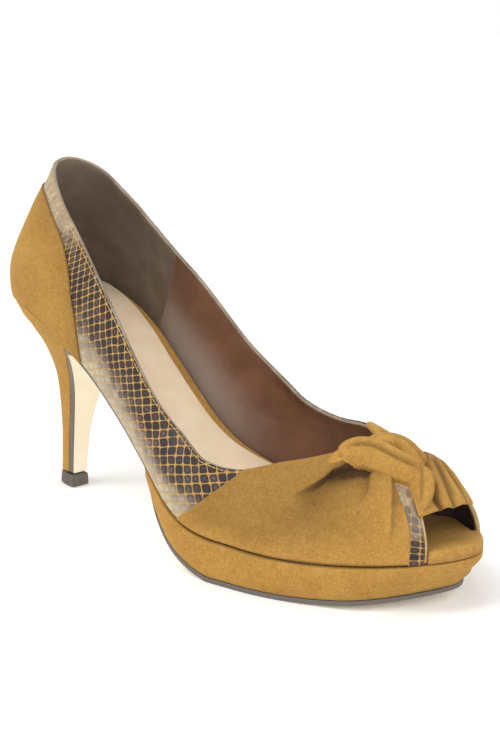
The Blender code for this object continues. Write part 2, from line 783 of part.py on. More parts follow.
def make_knot(parent, shoe, cutters):
    """The tied ends of the vamp: the wing, the band and two loops joined, seated on the vamp."""
    knot = finish(wing(), "knot", "suede", parent, shoe)
    tools = [("knot_band_form", strand(KNOT_BAND), "UNION"), ("knot_loop_form", strand(KNOT_LOOP), "UNION"),
             ("knot_far_loop_form", strand(KNOT_FAR_LOOP), "UNION"), ("vamp_clearance", clearance(), "DIFFERENCE")]
    for name, bm, operation in tools:
        form = finish(bm, name, "suede", parent, cutters)
        form.hide_render = True
        form.display_type = "WIRE"
        cut = knot.modifiers.new(name, "BOOLEAN")
        cut.operation = operation
        cut.object = form


PIECES = [
    ("outsole", make_outsole, "sole_leather"),
    ("platform", make_platform, "suede"),
    ("heel", make_heel, "suede"),
    ("top_piece", make_top_piece, "top_piece_rubber"),
    ("insole", make_insole, "insole_suede"),
    ("sock", make_sock, "sock_leather"),
    ("upper", make_upper, "snake"),
    ("counter", make_counter, "suede"),
    ("toe_trim", make_toe_trim, "snake"),
]


def stand_on_origin(stand, shoe):
    """Move the shoe so that the middle of its box's floor is the origin."""
    bpy.context.view_layer.update()
    graph = bpy.context.evaluated_depsgraph_get()
    corners = []
    for obj in shoe.objects:
        if obj.type == "MESH":
            corners += [np.array(obj.matrix_world @ v.co) for v in obj.evaluated_get(graph).data.vertices]
    low, high = np.min(corners, axis=0), np.max(corners, axis=0)
    stand.location = (-(low[0] + high[0]) / 2, -(low[1] + high[1]) / 2, -low[2])
    bpy.context.view_layer.update()


def main():
    for obj in list(bpy.data.objects):
        bpy.data.objects.remove(obj, do_unlink=True)
    shoe = bpy.data.collections.new("high_heel_shoe")
    bpy.context.scene.collection.children.link(shoe)
    stand = bpy.data.objects.new("shoe_origin", None)
    shoe.objects.link(stand)
    for name, make, finish_name in PIECES:
        finish(make(), name, finish_name, stand, shoe)
    cutters = bpy.data.collections.new("cutters")
    bpy.context.scene.collection.children.link(cutters)
    make_knot(stand, shoe, cutters)
    stand_on_origin(stand, shoe)


main()
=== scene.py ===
# High heel shoe for the right foot: suede and snake-embossed peep-toe pump with a knotted vamp
import math
import bmesh
import bpy
import numpy as np
from mathutils import Matrix, Vector


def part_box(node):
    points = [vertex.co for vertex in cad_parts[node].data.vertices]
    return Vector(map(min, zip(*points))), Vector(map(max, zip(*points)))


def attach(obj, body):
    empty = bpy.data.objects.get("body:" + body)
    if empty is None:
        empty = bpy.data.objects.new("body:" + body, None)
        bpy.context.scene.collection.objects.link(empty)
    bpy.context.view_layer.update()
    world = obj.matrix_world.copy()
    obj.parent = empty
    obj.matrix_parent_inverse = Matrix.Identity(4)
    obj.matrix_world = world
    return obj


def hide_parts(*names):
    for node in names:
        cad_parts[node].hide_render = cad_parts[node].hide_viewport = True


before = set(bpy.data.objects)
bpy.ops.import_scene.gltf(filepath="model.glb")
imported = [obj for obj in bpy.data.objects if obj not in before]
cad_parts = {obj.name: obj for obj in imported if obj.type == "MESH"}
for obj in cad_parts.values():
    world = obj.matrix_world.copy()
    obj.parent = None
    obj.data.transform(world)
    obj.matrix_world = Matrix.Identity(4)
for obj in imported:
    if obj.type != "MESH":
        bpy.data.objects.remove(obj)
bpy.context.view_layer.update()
mm = 0.001
print("frame loaded")

# The last's back point is the heel's rear in plan, its middle line runs through the top piece
heelLow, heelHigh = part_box("heel")
topLow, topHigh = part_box("top_piece")
lastOrigin = np.array([heelLow.x, (topLow.y + topHigh.y) / 2, 0.0])

last = {
    "length": 225 * mm, "ball": 80 * mm, "seat": 86.3 * mm, "platform": 16.1 * mm, "toeLift": 4.3 * mm,
    "collar": 142.5 * mm, "instep": 43 * mm, "heelRound": 29.25 * mm, "toeRound": 0.69, "opening": 0.962,
    "throat": 0.80, "turn": 0.14, "vampEdge": 0.57, "wall": 1.6 * mm, "gap": 0.3 * mm, "overlay": 0.7 * mm,
    "arch": 45 * mm,  # from the feather line to the crest of the vamp, over the leather
}


def table(rows):
    names, body = rows[0], np.array(rows[1:], float)
    return {name: body[:, i] for i, name in enumerate(names)}


def curve(x, xs, ys):  # smooth through the rows, flat beyond the ends
    x = np.clip(np.asarray(x, float), xs[0], xs[-1])
    step = np.diff(xs)
    slope = np.diff(ys) / step
    inner = (slope[:-1] * step[1:] + slope[1:] * step[:-1]) / (step[1:] + step[:-1])
    tangent = np.concatenate([[slope[0]], inner, [slope[-1]]])
    i = np.clip(np.searchsorted(xs, x, side="right") - 1, 0, len(step) - 1)
    t = (x - xs[i]) / step[i]
    a = ys[i] * (1 + 2 * t) * (1 - t) ** 2 + ys[i + 1] * t * t * (3 - 2 * t)
    return a + step[i] * (tangent[i] * t * (1 - t) ** 2 - tangent[i + 1] * t * t * (1 - t))


def smooth(t):
    t = np.clip(t, 0, 1)
    return t * t * (3 - 2 * t)


def eased(t):  # how far a rounded edge lies in: nothing at 0, the whole radius at 1
    return 1 - np.sqrt(np.clip(1 - np.clip(t, 0, 1) ** 2, 0, 1))


def unit(vectors):
    return vectors / np.maximum(np.linalg.norm(vectors, axis=-1, keepdims=True), 1e-12)


# Sections of the last, as in the frame, but with the throat line a little lower beside the knot
outlineRows = table([
    ("x", "half", "shift"),
    (0.00, 0.349, 0.000), (0.08, 0.323, -0.004), (0.20, 0.340, -0.030), (0.33, 0.313, -0.047),
    (0.45, 0.328, -0.069), (0.57, 0.449, -0.032), (0.69, 0.500, 0.055), (0.82, 0.488, 0.136),
    (1.00, 0.425, 0.201),
])
featherRows = table([
    ("x", "height"),
    (0.00, 1.000), (0.12, 0.953), (0.25, 0.774), (0.37, 0.492), (0.49, 0.197), (0.60, 0.031),
    (0.70, 0.000), (1.00, 0.000),
])
toplineRows = table([
    ("x", "outerHeight", "innerHeight", "outerHalf", "innerHalf"),
    (0.091, 1.000, 1.000, 0.215, 0.250), (0.130, 0.968, 0.952, 0.220, 0.258),
    (0.160, 0.917, 0.903, 0.223, 0.264), (0.210, 0.823, 0.838, 0.228, 0.270),
    (0.260, 0.740, 0.776, 0.248, 0.276), (0.310, 0.652, 0.713, 0.268, 0.285),
    (0.370, 0.545, 0.638, 0.286, 0.305), (0.420, 0.450, 0.563, 0.296, 0.325),
    (0.480, 0.340, 0.468, 0.308, 0.340), (0.540, 0.268, 0.392, 0.330, 0.346),
    (0.600, 0.222, 0.338, 0.355, 0.340),
])
throatRows = table([
    ("x", "outer", "inner"),
    (0.560, 0.50, 0.80), (0.620, 0.56, 0.83), (0.680, 0.64, 0.85), (0.720, 0.74, 0.895),
    (0.760, 0.855, 0.95), (0.800, 1.00, 1.00),
])
crestRows = table([
    ("x", "height", "shift"),
    (0.000, 3.570, 0.000), (0.200, 3.000, 0.000), (0.350, 2.260, 0.000), (0.500, 1.500, 0.010),
    (0.600, 1.140, 0.025), (0.675, 1.000, 0.031), (0.733, 0.965, 0.031), (0.764, 0.916, 0.031),
    (0.800, 0.850, 0.031), (0.844, 0.756, 0.028), (0.889, 0.663, 0.022), (0.929, 0.535, 0.015),
    (0.960, 0.405, 0.008), (1.000, 0.200, 0.000),
])
backRows = table([
    ("w", "forward"),
    (0.00, 0.0000), (0.04, -0.0030), (0.12, -0.0065), (0.22, -0.0040), (0.33, 0.0085), (0.475, 0.0290),
    (0.63, 0.0510), (0.774, 0.0705), (0.95, 0.0875), (1.00, 0.0911),
])
leanRows = table([
    ("x", "forward"),
    (0.13, 0.074), (0.30, 0.062), (0.45, 0.085), (0.57, 0.107), (0.70, 0.071), (0.80, 0.027),
    (0.90, -0.035), (0.962, -0.082),
])


def outline(x):  # half width and centre of the feather line
    s = np.clip(x / last["length"], 0, 1)
    half = curve(s, outlineRows["x"], outlineRows["half"]) * last["ball"]
    a = last["heelRound"] / last["length"]
    heel = np.sqrt(np.maximum(1 - np.clip(1 - s / a, 0, 1) ** 2, 0))
    u = np.clip((s - last["toeRound"]) / (1 - last["toeRound"]), 0, 1)
    toe = np.maximum(1 - u ** 2.4, 0) ** (1 / 1.9)
    return half * heel * toe, curve(s, outlineRows["x"], outlineRows["shift"]) * last["ball"]


def featherHeight(x):
    s = x / last["length"]
    rise = last["toeLift"] * np.clip((s - 0.74) / 0.26, 0, 1) ** 2
    share = curve(s, featherRows["x"], featherRows["height"])
    return last["platform"] + share * (last["seat"] - last["platform"]) + rise


def wallSection(side, x, w):  # sideways place and height of the wall; side is an array of -1 and 1
    s = x / last["length"]
    half, centre = outline(np.maximum(x, last["heelRound"]))
    ridge = centre + curve(s, crestRows["x"], crestRows["shift"]) * last["ball"]
    reach = half + side * (centre - ridge)
    crest = curve(s, crestRows["x"], crestRows["height"]) * last["instep"]

    def pick(rows, name):
        outer, inner = (curve(s, rows["x"], rows[label + name]) for label in ("outer", "inner"))
        return np.where(side < 0, outer, inner)

    toplineHeight = last["platform"] + pick(toplineRows, "Height") * (last["collar"] - last["platform"])
    byHeight = np.clip((toplineHeight - featherHeight(x)) / crest, 0.02, 1)
    byArch = pick(throatRows, "")
    mix = smooth((s - 0.56) / 0.08)
    angle = np.arcsin(np.clip(byHeight * (1 - mix) + byArch * mix, 0, 1))
    z = featherHeight(x) + crest * np.sin(w * angle)
    arch = reach * np.maximum(np.cos(w * angle), 0) ** 0.8
    topArch = reach * np.maximum(np.cos(angle), 0) ** 0.8
    wanted = pick(toplineRows, "Half") * last["ball"]
    free = 1 - smooth((s - 0.52) / 0.10)
    bulge = 0.022 * last["ball"] * np.sin(math.pi * np.clip(w, 0, 1)) * free
    return ridge + side * (arch + (wanted - topArch) * free * np.clip(w, 0, 2) ** 1.6 + bulge), z


def lastPoint(t, w):  # t runs from the outer side's toe opening at -1 round the heel to the inner side's at 1
    t, w = np.broadcast_arrays(np.asarray(t, float), np.asarray(w, float))
    side, u = np.where(t < 0, -1.0, 1.0), np.abs(t)
    front = np.maximum(columnX(u), last["heelRound"])
    lean = curve(front / last["length"], leanRows["x"], leanRows["forward"]) * last["length"]
    late = smooth((front / last["length"] - 0.80) / 0.14)
    xSide = front + lean * np.clip(w, 0, 2) ** (1 + 1.5 * late)
    angle = np.clip(u / last["turn"], 0, 1) * math.pi / 2
    xBack = curve(w, backRows["w"], backRows["forward"]) * last["length"]
    x = xSide - (xSide - xBack) * np.cos(angle)
    y, _ = wallSection(side, xSide, w)
    _, z = wallSection(side, x, w)
    return np.stack([x, y * np.sin(angle), z], -1)


def onLast(t, w, lift):
    side = np.where(t < 0, -1.0, 1.0)
    e = 1e-4 * side
    low = np.where(np.abs(t) < 1e-4, 0.0, 1.0)  # at the back seam the difference is taken forwards only
    du = lastPoint(t + e, w) - lastPoint(t - e * low, w)
    dw = lastPoint(t, np.minimum(w + 1e-4, 1)) - lastPoint(t, np.minimum(w, 1) - 1e-4)
    n = unit(np.cross(du, dw) * -side[..., None])
    return lastPoint(t, w) + n * lift[..., None] + np.array([0, 0, last["gap"]])


def sectionPoint(x, across):  # over the closed vamp, from the outer feather line at -1 to the inner at 1
    side = np.where(across < 0, -1.0, 1.0)
    y, z = wallSection(side, x * last["length"], 1 - np.abs(across))
    return np.stack([x * last["length"], y, z], -1)


def overCrest(x, across, lift):
    e = 2e-3
    a, b = sectionPoint(x + e, across), sectionPoint(x - e, across)
    c, d = sectionPoint(x, across + e), sectionPoint(x, across - e)
    n = np.cross(a - b, c - d)
    n = unit(n * np.sign(n[..., 2:3]))
    return sectionPoint(x, across) + n * np.asarray(lift)[..., None], n


def edgeX(v):
    a, b = last["heelRound"], last["toeRound"] * last["length"]
    heel = a * (1 - np.cos(np.clip(v / 0.15, 0, 1) * math.pi / 2))
    side = (b - a) * np.clip((v - 0.15) / 0.45, 0, 1)
    turn = np.clip((v - 0.6) / 0.4, 0, 1) * math.pi / 2
    return heel + side + (last["length"] - b) * np.sin(turn) ** (2 / 2.4)


def edgePoint(side, v, inset):  # point of the feather line in plan, moved inwards
    def raw(t):
        x = edgeX(t)
        half, centre = outline(x)
        return np.stack([x, centre + side * half], -1)

    ahead = raw(np.minimum(v + 1e-3, 1)) - raw(np.maximum(v - 1e-3, 0))
    inward = unit(np.stack([ahead[..., 1] * side, -ahead[..., 0] * side], -1))
    return raw(v) + inward * inset[..., None]


def edgeShare(x):
    vs = np.linspace(0, 1, 800)
    return float(np.interp(x, edgeX(vs), vs))


def columnAt(x):  # the share along the wall whose line leaves the feather line at x
    span = last["opening"] * last["length"] - last["heelRound"]
    return last["turn"] + (1 - last["turn"]) * (x * last["length"] - last["heelRound"]) / span


def columnX(u):  # the other way round: how far forward the line at share u leaves the feather line
    span = last["opening"] * last["length"] - last["heelRound"]
    return last["heelRound"] + (u - last["turn"]) / (1 - last["turn"]) * span


# Making pieces: a grid whose vertices are moved to their places on the shoe
def gridPiece(name, place, cols, rows, material, replaced):
    bm = bmesh.new()
    bmesh.ops.create_grid(bm, x_segments=cols, y_segments=rows, size=0.5)
    flat = np.array([v.co for v in bm.verts])[:, :2] + 0.5
    made = place(flat[:, 0], flat[:, 1])
    points, uv, shade = made["at"] + lastOrigin, made.get("uv"), made.get("shade")
    shadeLayer = bm.verts.layers.float.new("shade")
    for i, v in enumerate(bm.verts):
        v.co = points[i]
        v[shadeLayer] = 0.0 if shade is None else float(shade[i])
    if uv is not None:
        uvLayer = bm.loops.layers.uv.new("leather")
        for face in bm.faces:
            for loop in face.loops:
                loop[uvLayer].uv = uv[loop.vert.index]
    bmesh.ops.remove_doubles(bm, verts=bm.verts, dist=2e-6)
    bmesh.ops.dissolve_degenerate(bm, edges=bm.edges, dist=1e-7)
    bmesh.ops.recalc_face_normals(bm, faces=bm.faces)
    mesh = bpy.data.meshes.new(name)
    bm.to_mesh(mesh)
    bm.free()
    mesh.shade_smooth()
    mesh.materials.append(material)
    piece = bpy.data.objects.new(name, mesh)
    bpy.context.scene.collection.objects.link(piece)
    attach(piece, "root")
    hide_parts(replaced)


def ringFace(v, b=0.04, split=0.74):  # 1 outside to -1 inside, share up the wall, and how far round each edge
    at = [0, b, split - b, split + b, 1 - b, 1]
    face = np.interp(v, at, [0, 1, 1, -1, -1, 0])
    share = np.interp(v, at, [0, 0, 1, 1, 0, 0])
    turn = np.sqrt(np.maximum(1 - face ** 2, 0)) * np.where(np.abs(v - split) < 1.5 * b, 1, -1)
    return face, share, turn


def level(value):  # the same height or lift all along a wall
    return lambda t, w=0: 0 * t + value


def wallPiece(name, material, replaced, start, end, outer, inner, cols, rows=84,
              low=level(0.0), top=level(1.0), spread=level(0.0), look=None, pinch=0.9 * mm):
    # A wall on the last between two lifts, with rounded edges; start and end are shares along it
    def place(a, v):
        t = start + (end - start) * a
        face, share, turn = ringFace(v)
        w = low(t) + (top(t) - low(t)) * share
        shifted = t - np.sign(t) * spread(np.abs(t)) * np.clip(w, 0, 1) ** 4
        out = outer(shifted, w)
        fromEnd = np.minimum(a, 1 - a) * abs(end - start) * last["length"]
        half = (out - inner) / 2 * (1 - eased(1 - fromEnd / pinch))
        w = w + turn * half / last["arch"]
        made = {"at": onLast(shifted, w, (out + inner) / 2 + face * half)}
        if look is not None:
            made.update(look(shifted, w, made["at"]))
        return made
    gridPiece(name, place, cols, rows, material, replaced)


def nearestFold(x, across, points):  # distance from a line of (x, across, strength), strength and side there
    px, pa = x * last["length"], across * last["arch"]
    best = np.full(np.shape(px), 1.0)
    strength, side = np.zeros(np.shape(px)), np.zeros(np.shape(px))
    for (x0, a0, s0), (x1, a1, s1) in zip(points, points[1:]):
        p = np.array([x0 * last["length"], a0 * last["arch"]])
        d = np.array([x1 * last["length"], a1 * last["arch"]]) - p
        f = np.clip(((px - p[0]) * d[0] + (pa - p[1]) * d[1]) / (d @ d), 0, 1)
        away = np.hypot(px - p[0] - f * d[0], pa - p[1] - f * d[1])
        near = away < best
        best = np.where(near, away, best)
        strength = np.where(near, s0 + (s1 - s0) * f, strength)
        side = np.where(near, np.sign(d[0] * (pa - p[1]) - d[1] * (px - p[0])), side)
    return best, strength, side


def pleat(x, across, points, height, reach, sharp, facing):
    # A lip on one side of the line and a sharp drop on the other; height, reach and sharp in millimetres
    away, strength, side = nearestFold(x, across, points)
    signed = away * side * facing
    lip = smooth((signed + 0.55 * mm) / (1.3 * mm))
    rise = lip * np.exp(-np.maximum(signed, 0) / (reach * mm))
    drop = (1 - lip) * 0.7 * np.exp(-np.maximum(-signed, 0) / (sharp * mm))
    return height * mm * strength * (rise - drop)


def trough(x, across, points, width, depth):  # soft fold along a line, its width in millimetres
    away, strength, _ = nearestFold(x, across, points)
    return depth * strength * np.exp(-(away / (width * mm)) ** 2)


# Colours and materials
def srgb(r, g, b):
    shares = [c / 255 for c in (r, g, b)]
    return tuple(((c + 0.055) / 1.055) ** 2.4 if c > 0.04 else c / 12.92 for c in shares) + (1.0,)


def newMaterial(name, roughness, **constant):
    mat = bpy.data.materials.new(name)
    mat.use_nodes = True
    shader = mat.node_tree.nodes["Principled BSDF"]
    shader.inputs["Roughness"].default_value = roughness
    for key, value in constant.items():
        shader.inputs[key.replace("_", " ")].default_value = value
    return mat, mat.node_tree, shader


def addNode(tree, kind, values=None, **settings):
    node = tree.nodes.new(kind)
    for key, value in settings.items():
        setattr(node, key, value)
    for key, value in (values or {}).items():
        node.inputs[key].default_value = value
    return node


def mathNode(tree, operation, a, b=None):
    node = addNode(tree, "ShaderNodeMath", operation=operation)
    for i, value in enumerate((a, b)):
        if value is None:
            continue
        if isinstance(value, (int, float)):
            node.inputs[i].default_value = value
        else:
            tree.links.new(value, node.inputs[i])
    return node.outputs[0]


def sumNode(tree, total, *others):
    for other in others:
        total = mathNode(tree, "ADD", total, other)
    return total


def scaledNode(tree, value, gain, middle=0.0):  # how far a value lies from its middle, times a gain
    moved = mathNode(tree, "SUBTRACT", value, middle) if middle else value
    return mathNode(tree, "MULTIPLY", moved, gain)


def mixColour(tree, factor, a, b):
    node = addNode(tree, "ShaderNodeMix", data_type="RGBA")
    for socket, value in ((node.inputs[0], factor), (node.inputs[6], a), (node.inputs[7], b)):
        if isinstance(value, (tuple, float, int)):
            socket.default_value = value
        else:
            tree.links.new(value, socket)
    return node.outputs[2]


def rangeNode(tree, value, low, high, a=0.0, b=1.0):
    node = addNode(tree, "ShaderNodeMapRange", {1: low, 2: high, 3: a, 4: b}, interpolation_type="SMOOTHSTEP")
    tree.links.new(value, node.inputs[0])
    return node.outputs[0]


def noiseNode(tree, vector, scale, detail=3.0, distortion=0.0):
    node = addNode(tree, "ShaderNodeTexNoise", {"Scale": scale, "Detail": detail, "Distortion": distortion})
    tree.links.new(vector, node.inputs["Vector"])
    return node.outputs[0]


def bump(tree, shader, height, strength, distance):
    node = addNode(tree, "ShaderNodeBump", {"Strength": strength, "Distance": distance})
    tree.links.new(height, node.inputs["Height"])
    tree.links.new(node.outputs[0], shader.inputs["Normal"])


def shaderGroup(name, inputs, outputs):
    group = bpy.data.node_groups.new(name, "ShaderNodeTree")
    for label, kind in inputs:
        group.interface.new_socket(label, in_out="INPUT", socket_type=kind)
    for label, kind in outputs:
        group.interface.new_socket(label, in_out="OUTPUT", socket_type=kind)
    return group, group.nodes.new("NodeGroupInput").outputs, group.nodes.new("NodeGroupOutput").inputs


def makeNapGroup():  # brushed nap: patches of light and dark, fine fibres, and painted shade in creases and pockets, mixed in by the shade value
    group, given, out = shaderGroup("suedeNap", [
        ("Vector", "NodeSocketVector"), ("Light", "NodeSocketColor"), ("Dark", "NodeSocketColor"),
        ("FoldShade", "NodeSocketColor"), ("Shade", "NodeSocketFloat")],
        [("Color", "NodeSocketColor"), ("Height", "NodeSocketFloat")])
    fine = noiseNode(group, given["Vector"], 2600, 4)
    brushed = noiseNode(group, given["Vector"], 520, 4, 0.6)
    patch = noiseNode(group, given["Vector"], 62, 3, 0.4)
    total = sumNode(group, scaledNode(group, brushed, 0.45), scaledNode(group, patch, 0.40),
                    scaledNode(group, fine, 1.25))
    factor = rangeNode(group, total, 0.72, 1.38)
    colour = mixColour(group, factor, given["Dark"], given["Light"])
    group.links.new(mixColour(group, given["Shade"], colour, given["FoldShade"]), out["Color"])
    group.links.new(sumNode(group, fine, scaledNode(group, brushed, 0.5)), out["Height"])
    return group


def makeScaleGroup():  # embossed scales: rounded cells in a grid, each with its own tone; a paler print where the second input rises, and painted shadow where it drops below zero
    group, given, out = shaderGroup("snakeScales", [
        ("Vector", "NodeSocketVector"), ("PrintToneAndShade", "NodeSocketFloat")],
        [("Color", "NodeSocketColor"), ("Height", "NodeSocketFloat"), ("Roughness", "NodeSocketFloat")])
    wobble = addNode(group, "ShaderNodeTexNoise", {"Scale": 0.55, "Detail": 2.0})
    group.links.new(given["Vector"], wobble.inputs["Vector"])
    centred = addNode(group, "ShaderNodeVectorMath", {1: (0.5, 0.5, 0.5)}, operation="SUBTRACT")
    group.links.new(wobble.outputs["Color"], centred.inputs[0])
    scaled = addNode(group, "ShaderNodeVectorMath", {"Scale": 0.42}, operation="SCALE")
    group.links.new(centred.outputs[0], scaled.inputs[0])
    moved = addNode(group, "ShaderNodeVectorMath", operation="ADD")
    group.links.new(given["Vector"], moved.inputs[0])
    group.links.new(scaled.outputs[0], moved.inputs[1])
    parts = addNode(group, "ShaderNodeSeparateXYZ")
    group.links.new(moved.outputs[0], parts.inputs[0])
    roundness = 4.0
    total, whole = None, []
    for axis in (0, 1):
        fraction = mathNode(group, "FRACT", parts.outputs[axis])
        inCell = mathNode(group, "ABSOLUTE", mathNode(group, "SUBTRACT", fraction, 0.5))
        whole.append(mathNode(group, "FLOOR", parts.outputs[axis]))
        power = mathNode(group, "POWER", inCell, roundness)
        total = power if total is None else mathNode(group, "ADD", total, power)
    away = mathNode(group, "POWER", total, 1 / roundness)
    joined = addNode(group, "ShaderNodeCombineXYZ")
    for i, value in enumerate(whole):
        group.links.new(value, joined.inputs[i])
    chance = addNode(group, "ShaderNodeTexWhiteNoise", noise_dimensions="2D")
    group.links.new(joined.outputs[0], chance.inputs["Vector"])
    size = mathNode(group, "MULTIPLY", chance.outputs["Value"], 0.035)
    grain = noiseNode(group, given["Vector"], 7.0, 3)
    ragged = sumNode(group, away, size, scaledNode(group, grain, 0.10, 0.5))
    cell = rangeNode(group, ragged, 0.492, 0.437)
    centre = rangeNode(group, away, 0.30, 0.05)
    fleck = mathNode(group, "MULTIPLY", centre, scaledNode(group, chance.outputs["Value"], 0.18))
    tone = sumNode(group, given["PrintToneAndShade"], scaledNode(group, chance.outputs["Value"], 0.28, 0.45), fleck,
                   scaledNode(group, grain, 0.22, 0.5))
    ramp = addNode(group, "ShaderNodeValToRGB")
    stops = [(0.0, (36, 25, 25)), (0.22, (66, 51, 46)), (0.45, (112, 99, 88)), (0.68, (150, 137, 119)),
             (1.0, (184, 170, 142))]
    for i, (place, colour) in enumerate(stops):
        stop = ramp.color_ramp.elements[i] if i < 2 else ramp.color_ramp.elements.new(place)
        stop.position, stop.color = place, srgb(*colour)
    group.links.new(tone, ramp.inputs[0])
    line = mixColour(group, rangeNode(group, given["PrintToneAndShade"], 0.2, 1.0), srgb(172, 132, 66), srgb(182, 150, 94))
    group.links.new(mixColour(group, cell, line, ramp.outputs[0]), out["Color"])
    relief = sumNode(group, scaledNode(group, cell, 0.8), scaledNode(group, grain, 0.35))
    group.links.new(relief, out["Height"])
    group.links.new(rangeNode(group, grain, 0.2, 0.8, 0.36, 0.55), out["Roughness"])
    return group


napGroup = makeNapGroup()
scaleGroup = makeScaleGroup()


def coordinates(tree):
    return addNode(tree, "ShaderNodeTexCoord").outputs["Object"]


def shadeAttribute(tree):
    return addNode(tree, "ShaderNodeAttribute", attribute_name="shade").outputs["Fac"]


def suedeMaterial(name, light, dark, fold, depth=0.25):
    mat, tree, shader = newMaterial(name, 0.95, Sheen_Weight=0.22, Sheen_Roughness=0.45,
                                    Sheen_Tint=srgb(245, 210, 140), Specular_IOR_Level=0.12)
    nap = addNode(tree, "ShaderNodeGroup", node_tree=napGroup)
    tree.links.new(coordinates(tree), nap.inputs["Vector"])
    tree.links.new(shadeAttribute(tree), nap.inputs["Shade"])
    for label, colour in (("Light", light), ("Dark", dark), ("FoldShade", fold)):
        nap.inputs[label].default_value = srgb(*colour)
    tree.links.new(nap.outputs["Color"], shader.inputs["Base Color"])
    bump(tree, shader, nap.outputs["Height"], depth, 0.25 * mm)
    return mat


def scaleMaterial(name):
    mat, tree, shader = newMaterial(name, 0.45, Specular_IOR_Level=0.42)
    scales = addNode(tree, "ShaderNodeGroup", node_tree=scaleGroup)
    uv = addNode(tree, "ShaderNodeUVMap", uv_map="leather")
    tree.links.new(uv.outputs[0], scales.inputs["Vector"])
    tree.links.new(shadeAttribute(tree), scales.inputs["PrintToneAndShade"])
    tree.links.new(scales.outputs["Color"], shader.inputs["Base Color"])
    tree.links.new(scales.outputs["Roughness"], shader.inputs["Roughness"])
    bump(tree, shader, scales.outputs["Height"], 0.55, 0.35 * mm)
    return mat


def leatherMaterial(name, light, dark, second, roughness, grainSize, depth, gloss=0.3):
    # Smooth leather with fine grain; the shade attribute runs from the first tone to the second
    mat, tree, shader = newMaterial(name, roughness, Specular_IOR_Level=gloss)
    at = coordinates(tree)
    cells = addNode(tree, "ShaderNodeTexVoronoi", {"Scale": grainSize}, feature="DISTANCE_TO_EDGE")
    tree.links.new(at, cells.inputs["Vector"])
    cloud = noiseNode(tree, at, 90, 4, 0.5)
    fine = noiseNode(tree, at, 1800, 3)
    tone = rangeNode(tree, sumNode(tree, cloud, scaledNode(tree, fine, 0.35)), 0.45, 0.95)
    colour = mixColour(tree, tone, srgb(*dark), srgb(*light))
    tree.links.new(mixColour(tree, shadeAttribute(tree), colour, srgb(*second)), shader.inputs["Base Color"])
    dulled = rangeNode(tree, cloud, 0.3, 0.7, roughness - 0.06, roughness + 0.08)
    tree.links.new(dulled, shader.inputs["Roughness"])
    height = sumNode(tree, rangeNode(tree, cells.outputs[0], 0.0, 0.25), scaledNode(tree, fine, 0.4))
    bump(tree, shader, height, depth, 0.12 * mm)
    return mat


# The third tone of each suede is the painted shade for creases, pockets, seams and undersides
suede = suedeMaterial("suede", (188, 145, 76), (152, 110, 50), (64, 45, 27))
insoleSuede = suedeMaterial("insoleSuede", (190, 148, 80), (150, 108, 50), (112, 82, 52))
snake = scaleMaterial("snake")
# The lining's second, greyer tone is a painted sheen, a highlight on the satin
liningLeather = leatherMaterial("liningLeather", (122, 84, 62), (104, 68, 48), (158, 148, 140), 0.36, 1500,
                                0.25, 0.45)
heelGrip = leatherMaterial("heelGrip", (126, 110, 96), (110, 95, 82), (70, 59, 52), 0.85, 2200, 0.5, 0.15)
toeLining = leatherMaterial("toeLining", (78, 66, 64), (56, 46, 44), (40, 34, 32), 0.8, 1800, 0.3, 0.15)
sockLeather = leatherMaterial("sockLeather", (246, 224, 194), (238, 213, 180), (232, 200, 162), 0.42, 1400,
                              0.2, 0.35)
edgeLeather = leatherMaterial("edgeLeather", (158, 144, 124), (120, 106, 88), (84, 72, 54), 0.5, 2000, 0.3)
goldEdge = leatherMaterial("goldEdge", (196, 168, 116), (168, 138, 88), (140, 112, 70), 0.5, 2000, 0.3)
soleLeather = leatherMaterial("soleLeather", (253, 242, 218), (250, 234, 206), (104, 98, 92), 0.45, 900, 0.15)
topRubber = leatherMaterial("topRubber", (112, 106, 98), (92, 86, 78), (60, 56, 52), 0.6, 1200, 0.35, 0.25)
thread = leatherMaterial("thread", (214, 176, 104), (190, 150, 80), (150, 116, 60), 0.6, 3000, 0.4)
print("materials made")

# Upper: snake quarters, lining, suede vamp with its folds, topline edge and stitches
upper = {"skin": 0.75 * mm, "trimWidth": 4.0 * mm, "trimSpread": 0.12, "snakeTuck": 0.35 * mm,
         "gripDepth": 0.15 * mm, "liningTop": 0.985, "vampBase": 0.2 * mm, "vampTuck": 0.9 * mm,
         "deepest": 0.8 * mm, "deeperBehind": 0.6 * mm, "farSide": 0.55}
scaleCells = {"pitch": 4.25, "grow": 0.0185, "smallest": 1.8, "largest": 4.6, "tilt": 0.27,
              "collarTilt": 0.30}
vampColumn = columnAt(last["vampEdge"])
trimColumn = columnAt(last["opening"] - upper["trimWidth"] / last["length"])
columns = np.linspace(vampColumn, trimColumn, 200)
throatColumn = float(np.interp(last["throat"], lastPoint(columns, 1.0)[:, 0] / last["length"], columns))


def scaleUv(t, at):  # developed place in cells: they grow from the collar down to the vamp
    x, z = at[:, 0] / mm, at[:, 2] / mm
    turned = np.clip(np.abs(t) / last["turn"], 0, 1)
    arc = turned * (x - 30) - 28 * (1 - turned)
    pitch = scaleCells["pitch"] - scaleCells["grow"] * (z - 22)
    pitch = np.clip(pitch, scaleCells["smallest"], scaleCells["largest"])
    tilt = scaleCells["tilt"] + scaleCells["collarTilt"] * smooth((z - 70) / 45)
    down = -1.25 * np.log(pitch) / scaleCells["grow"] - tilt * (x - 40) / pitch
    return np.stack([arc / pitch, down], -1)


def paleness(t, w, at):
    x, z = at[:, 0] / mm, at[:, 2] / mm
    low = 0.94 * smooth((0.68 - w) / 0.64) * smooth((x - 40) / 26)
    high = smooth((z - 106) / 16)
    return np.clip(np.maximum(low, high * 0.72), 0, 1)


def snakeOuter(t, w):
    return -upper["snakeTuck"] * smooth(1 - w / 0.02)


def snakeLook(t, w, at):
    return {"uv": scaleUv(t, at), "shade": paleness(t, w, at)}


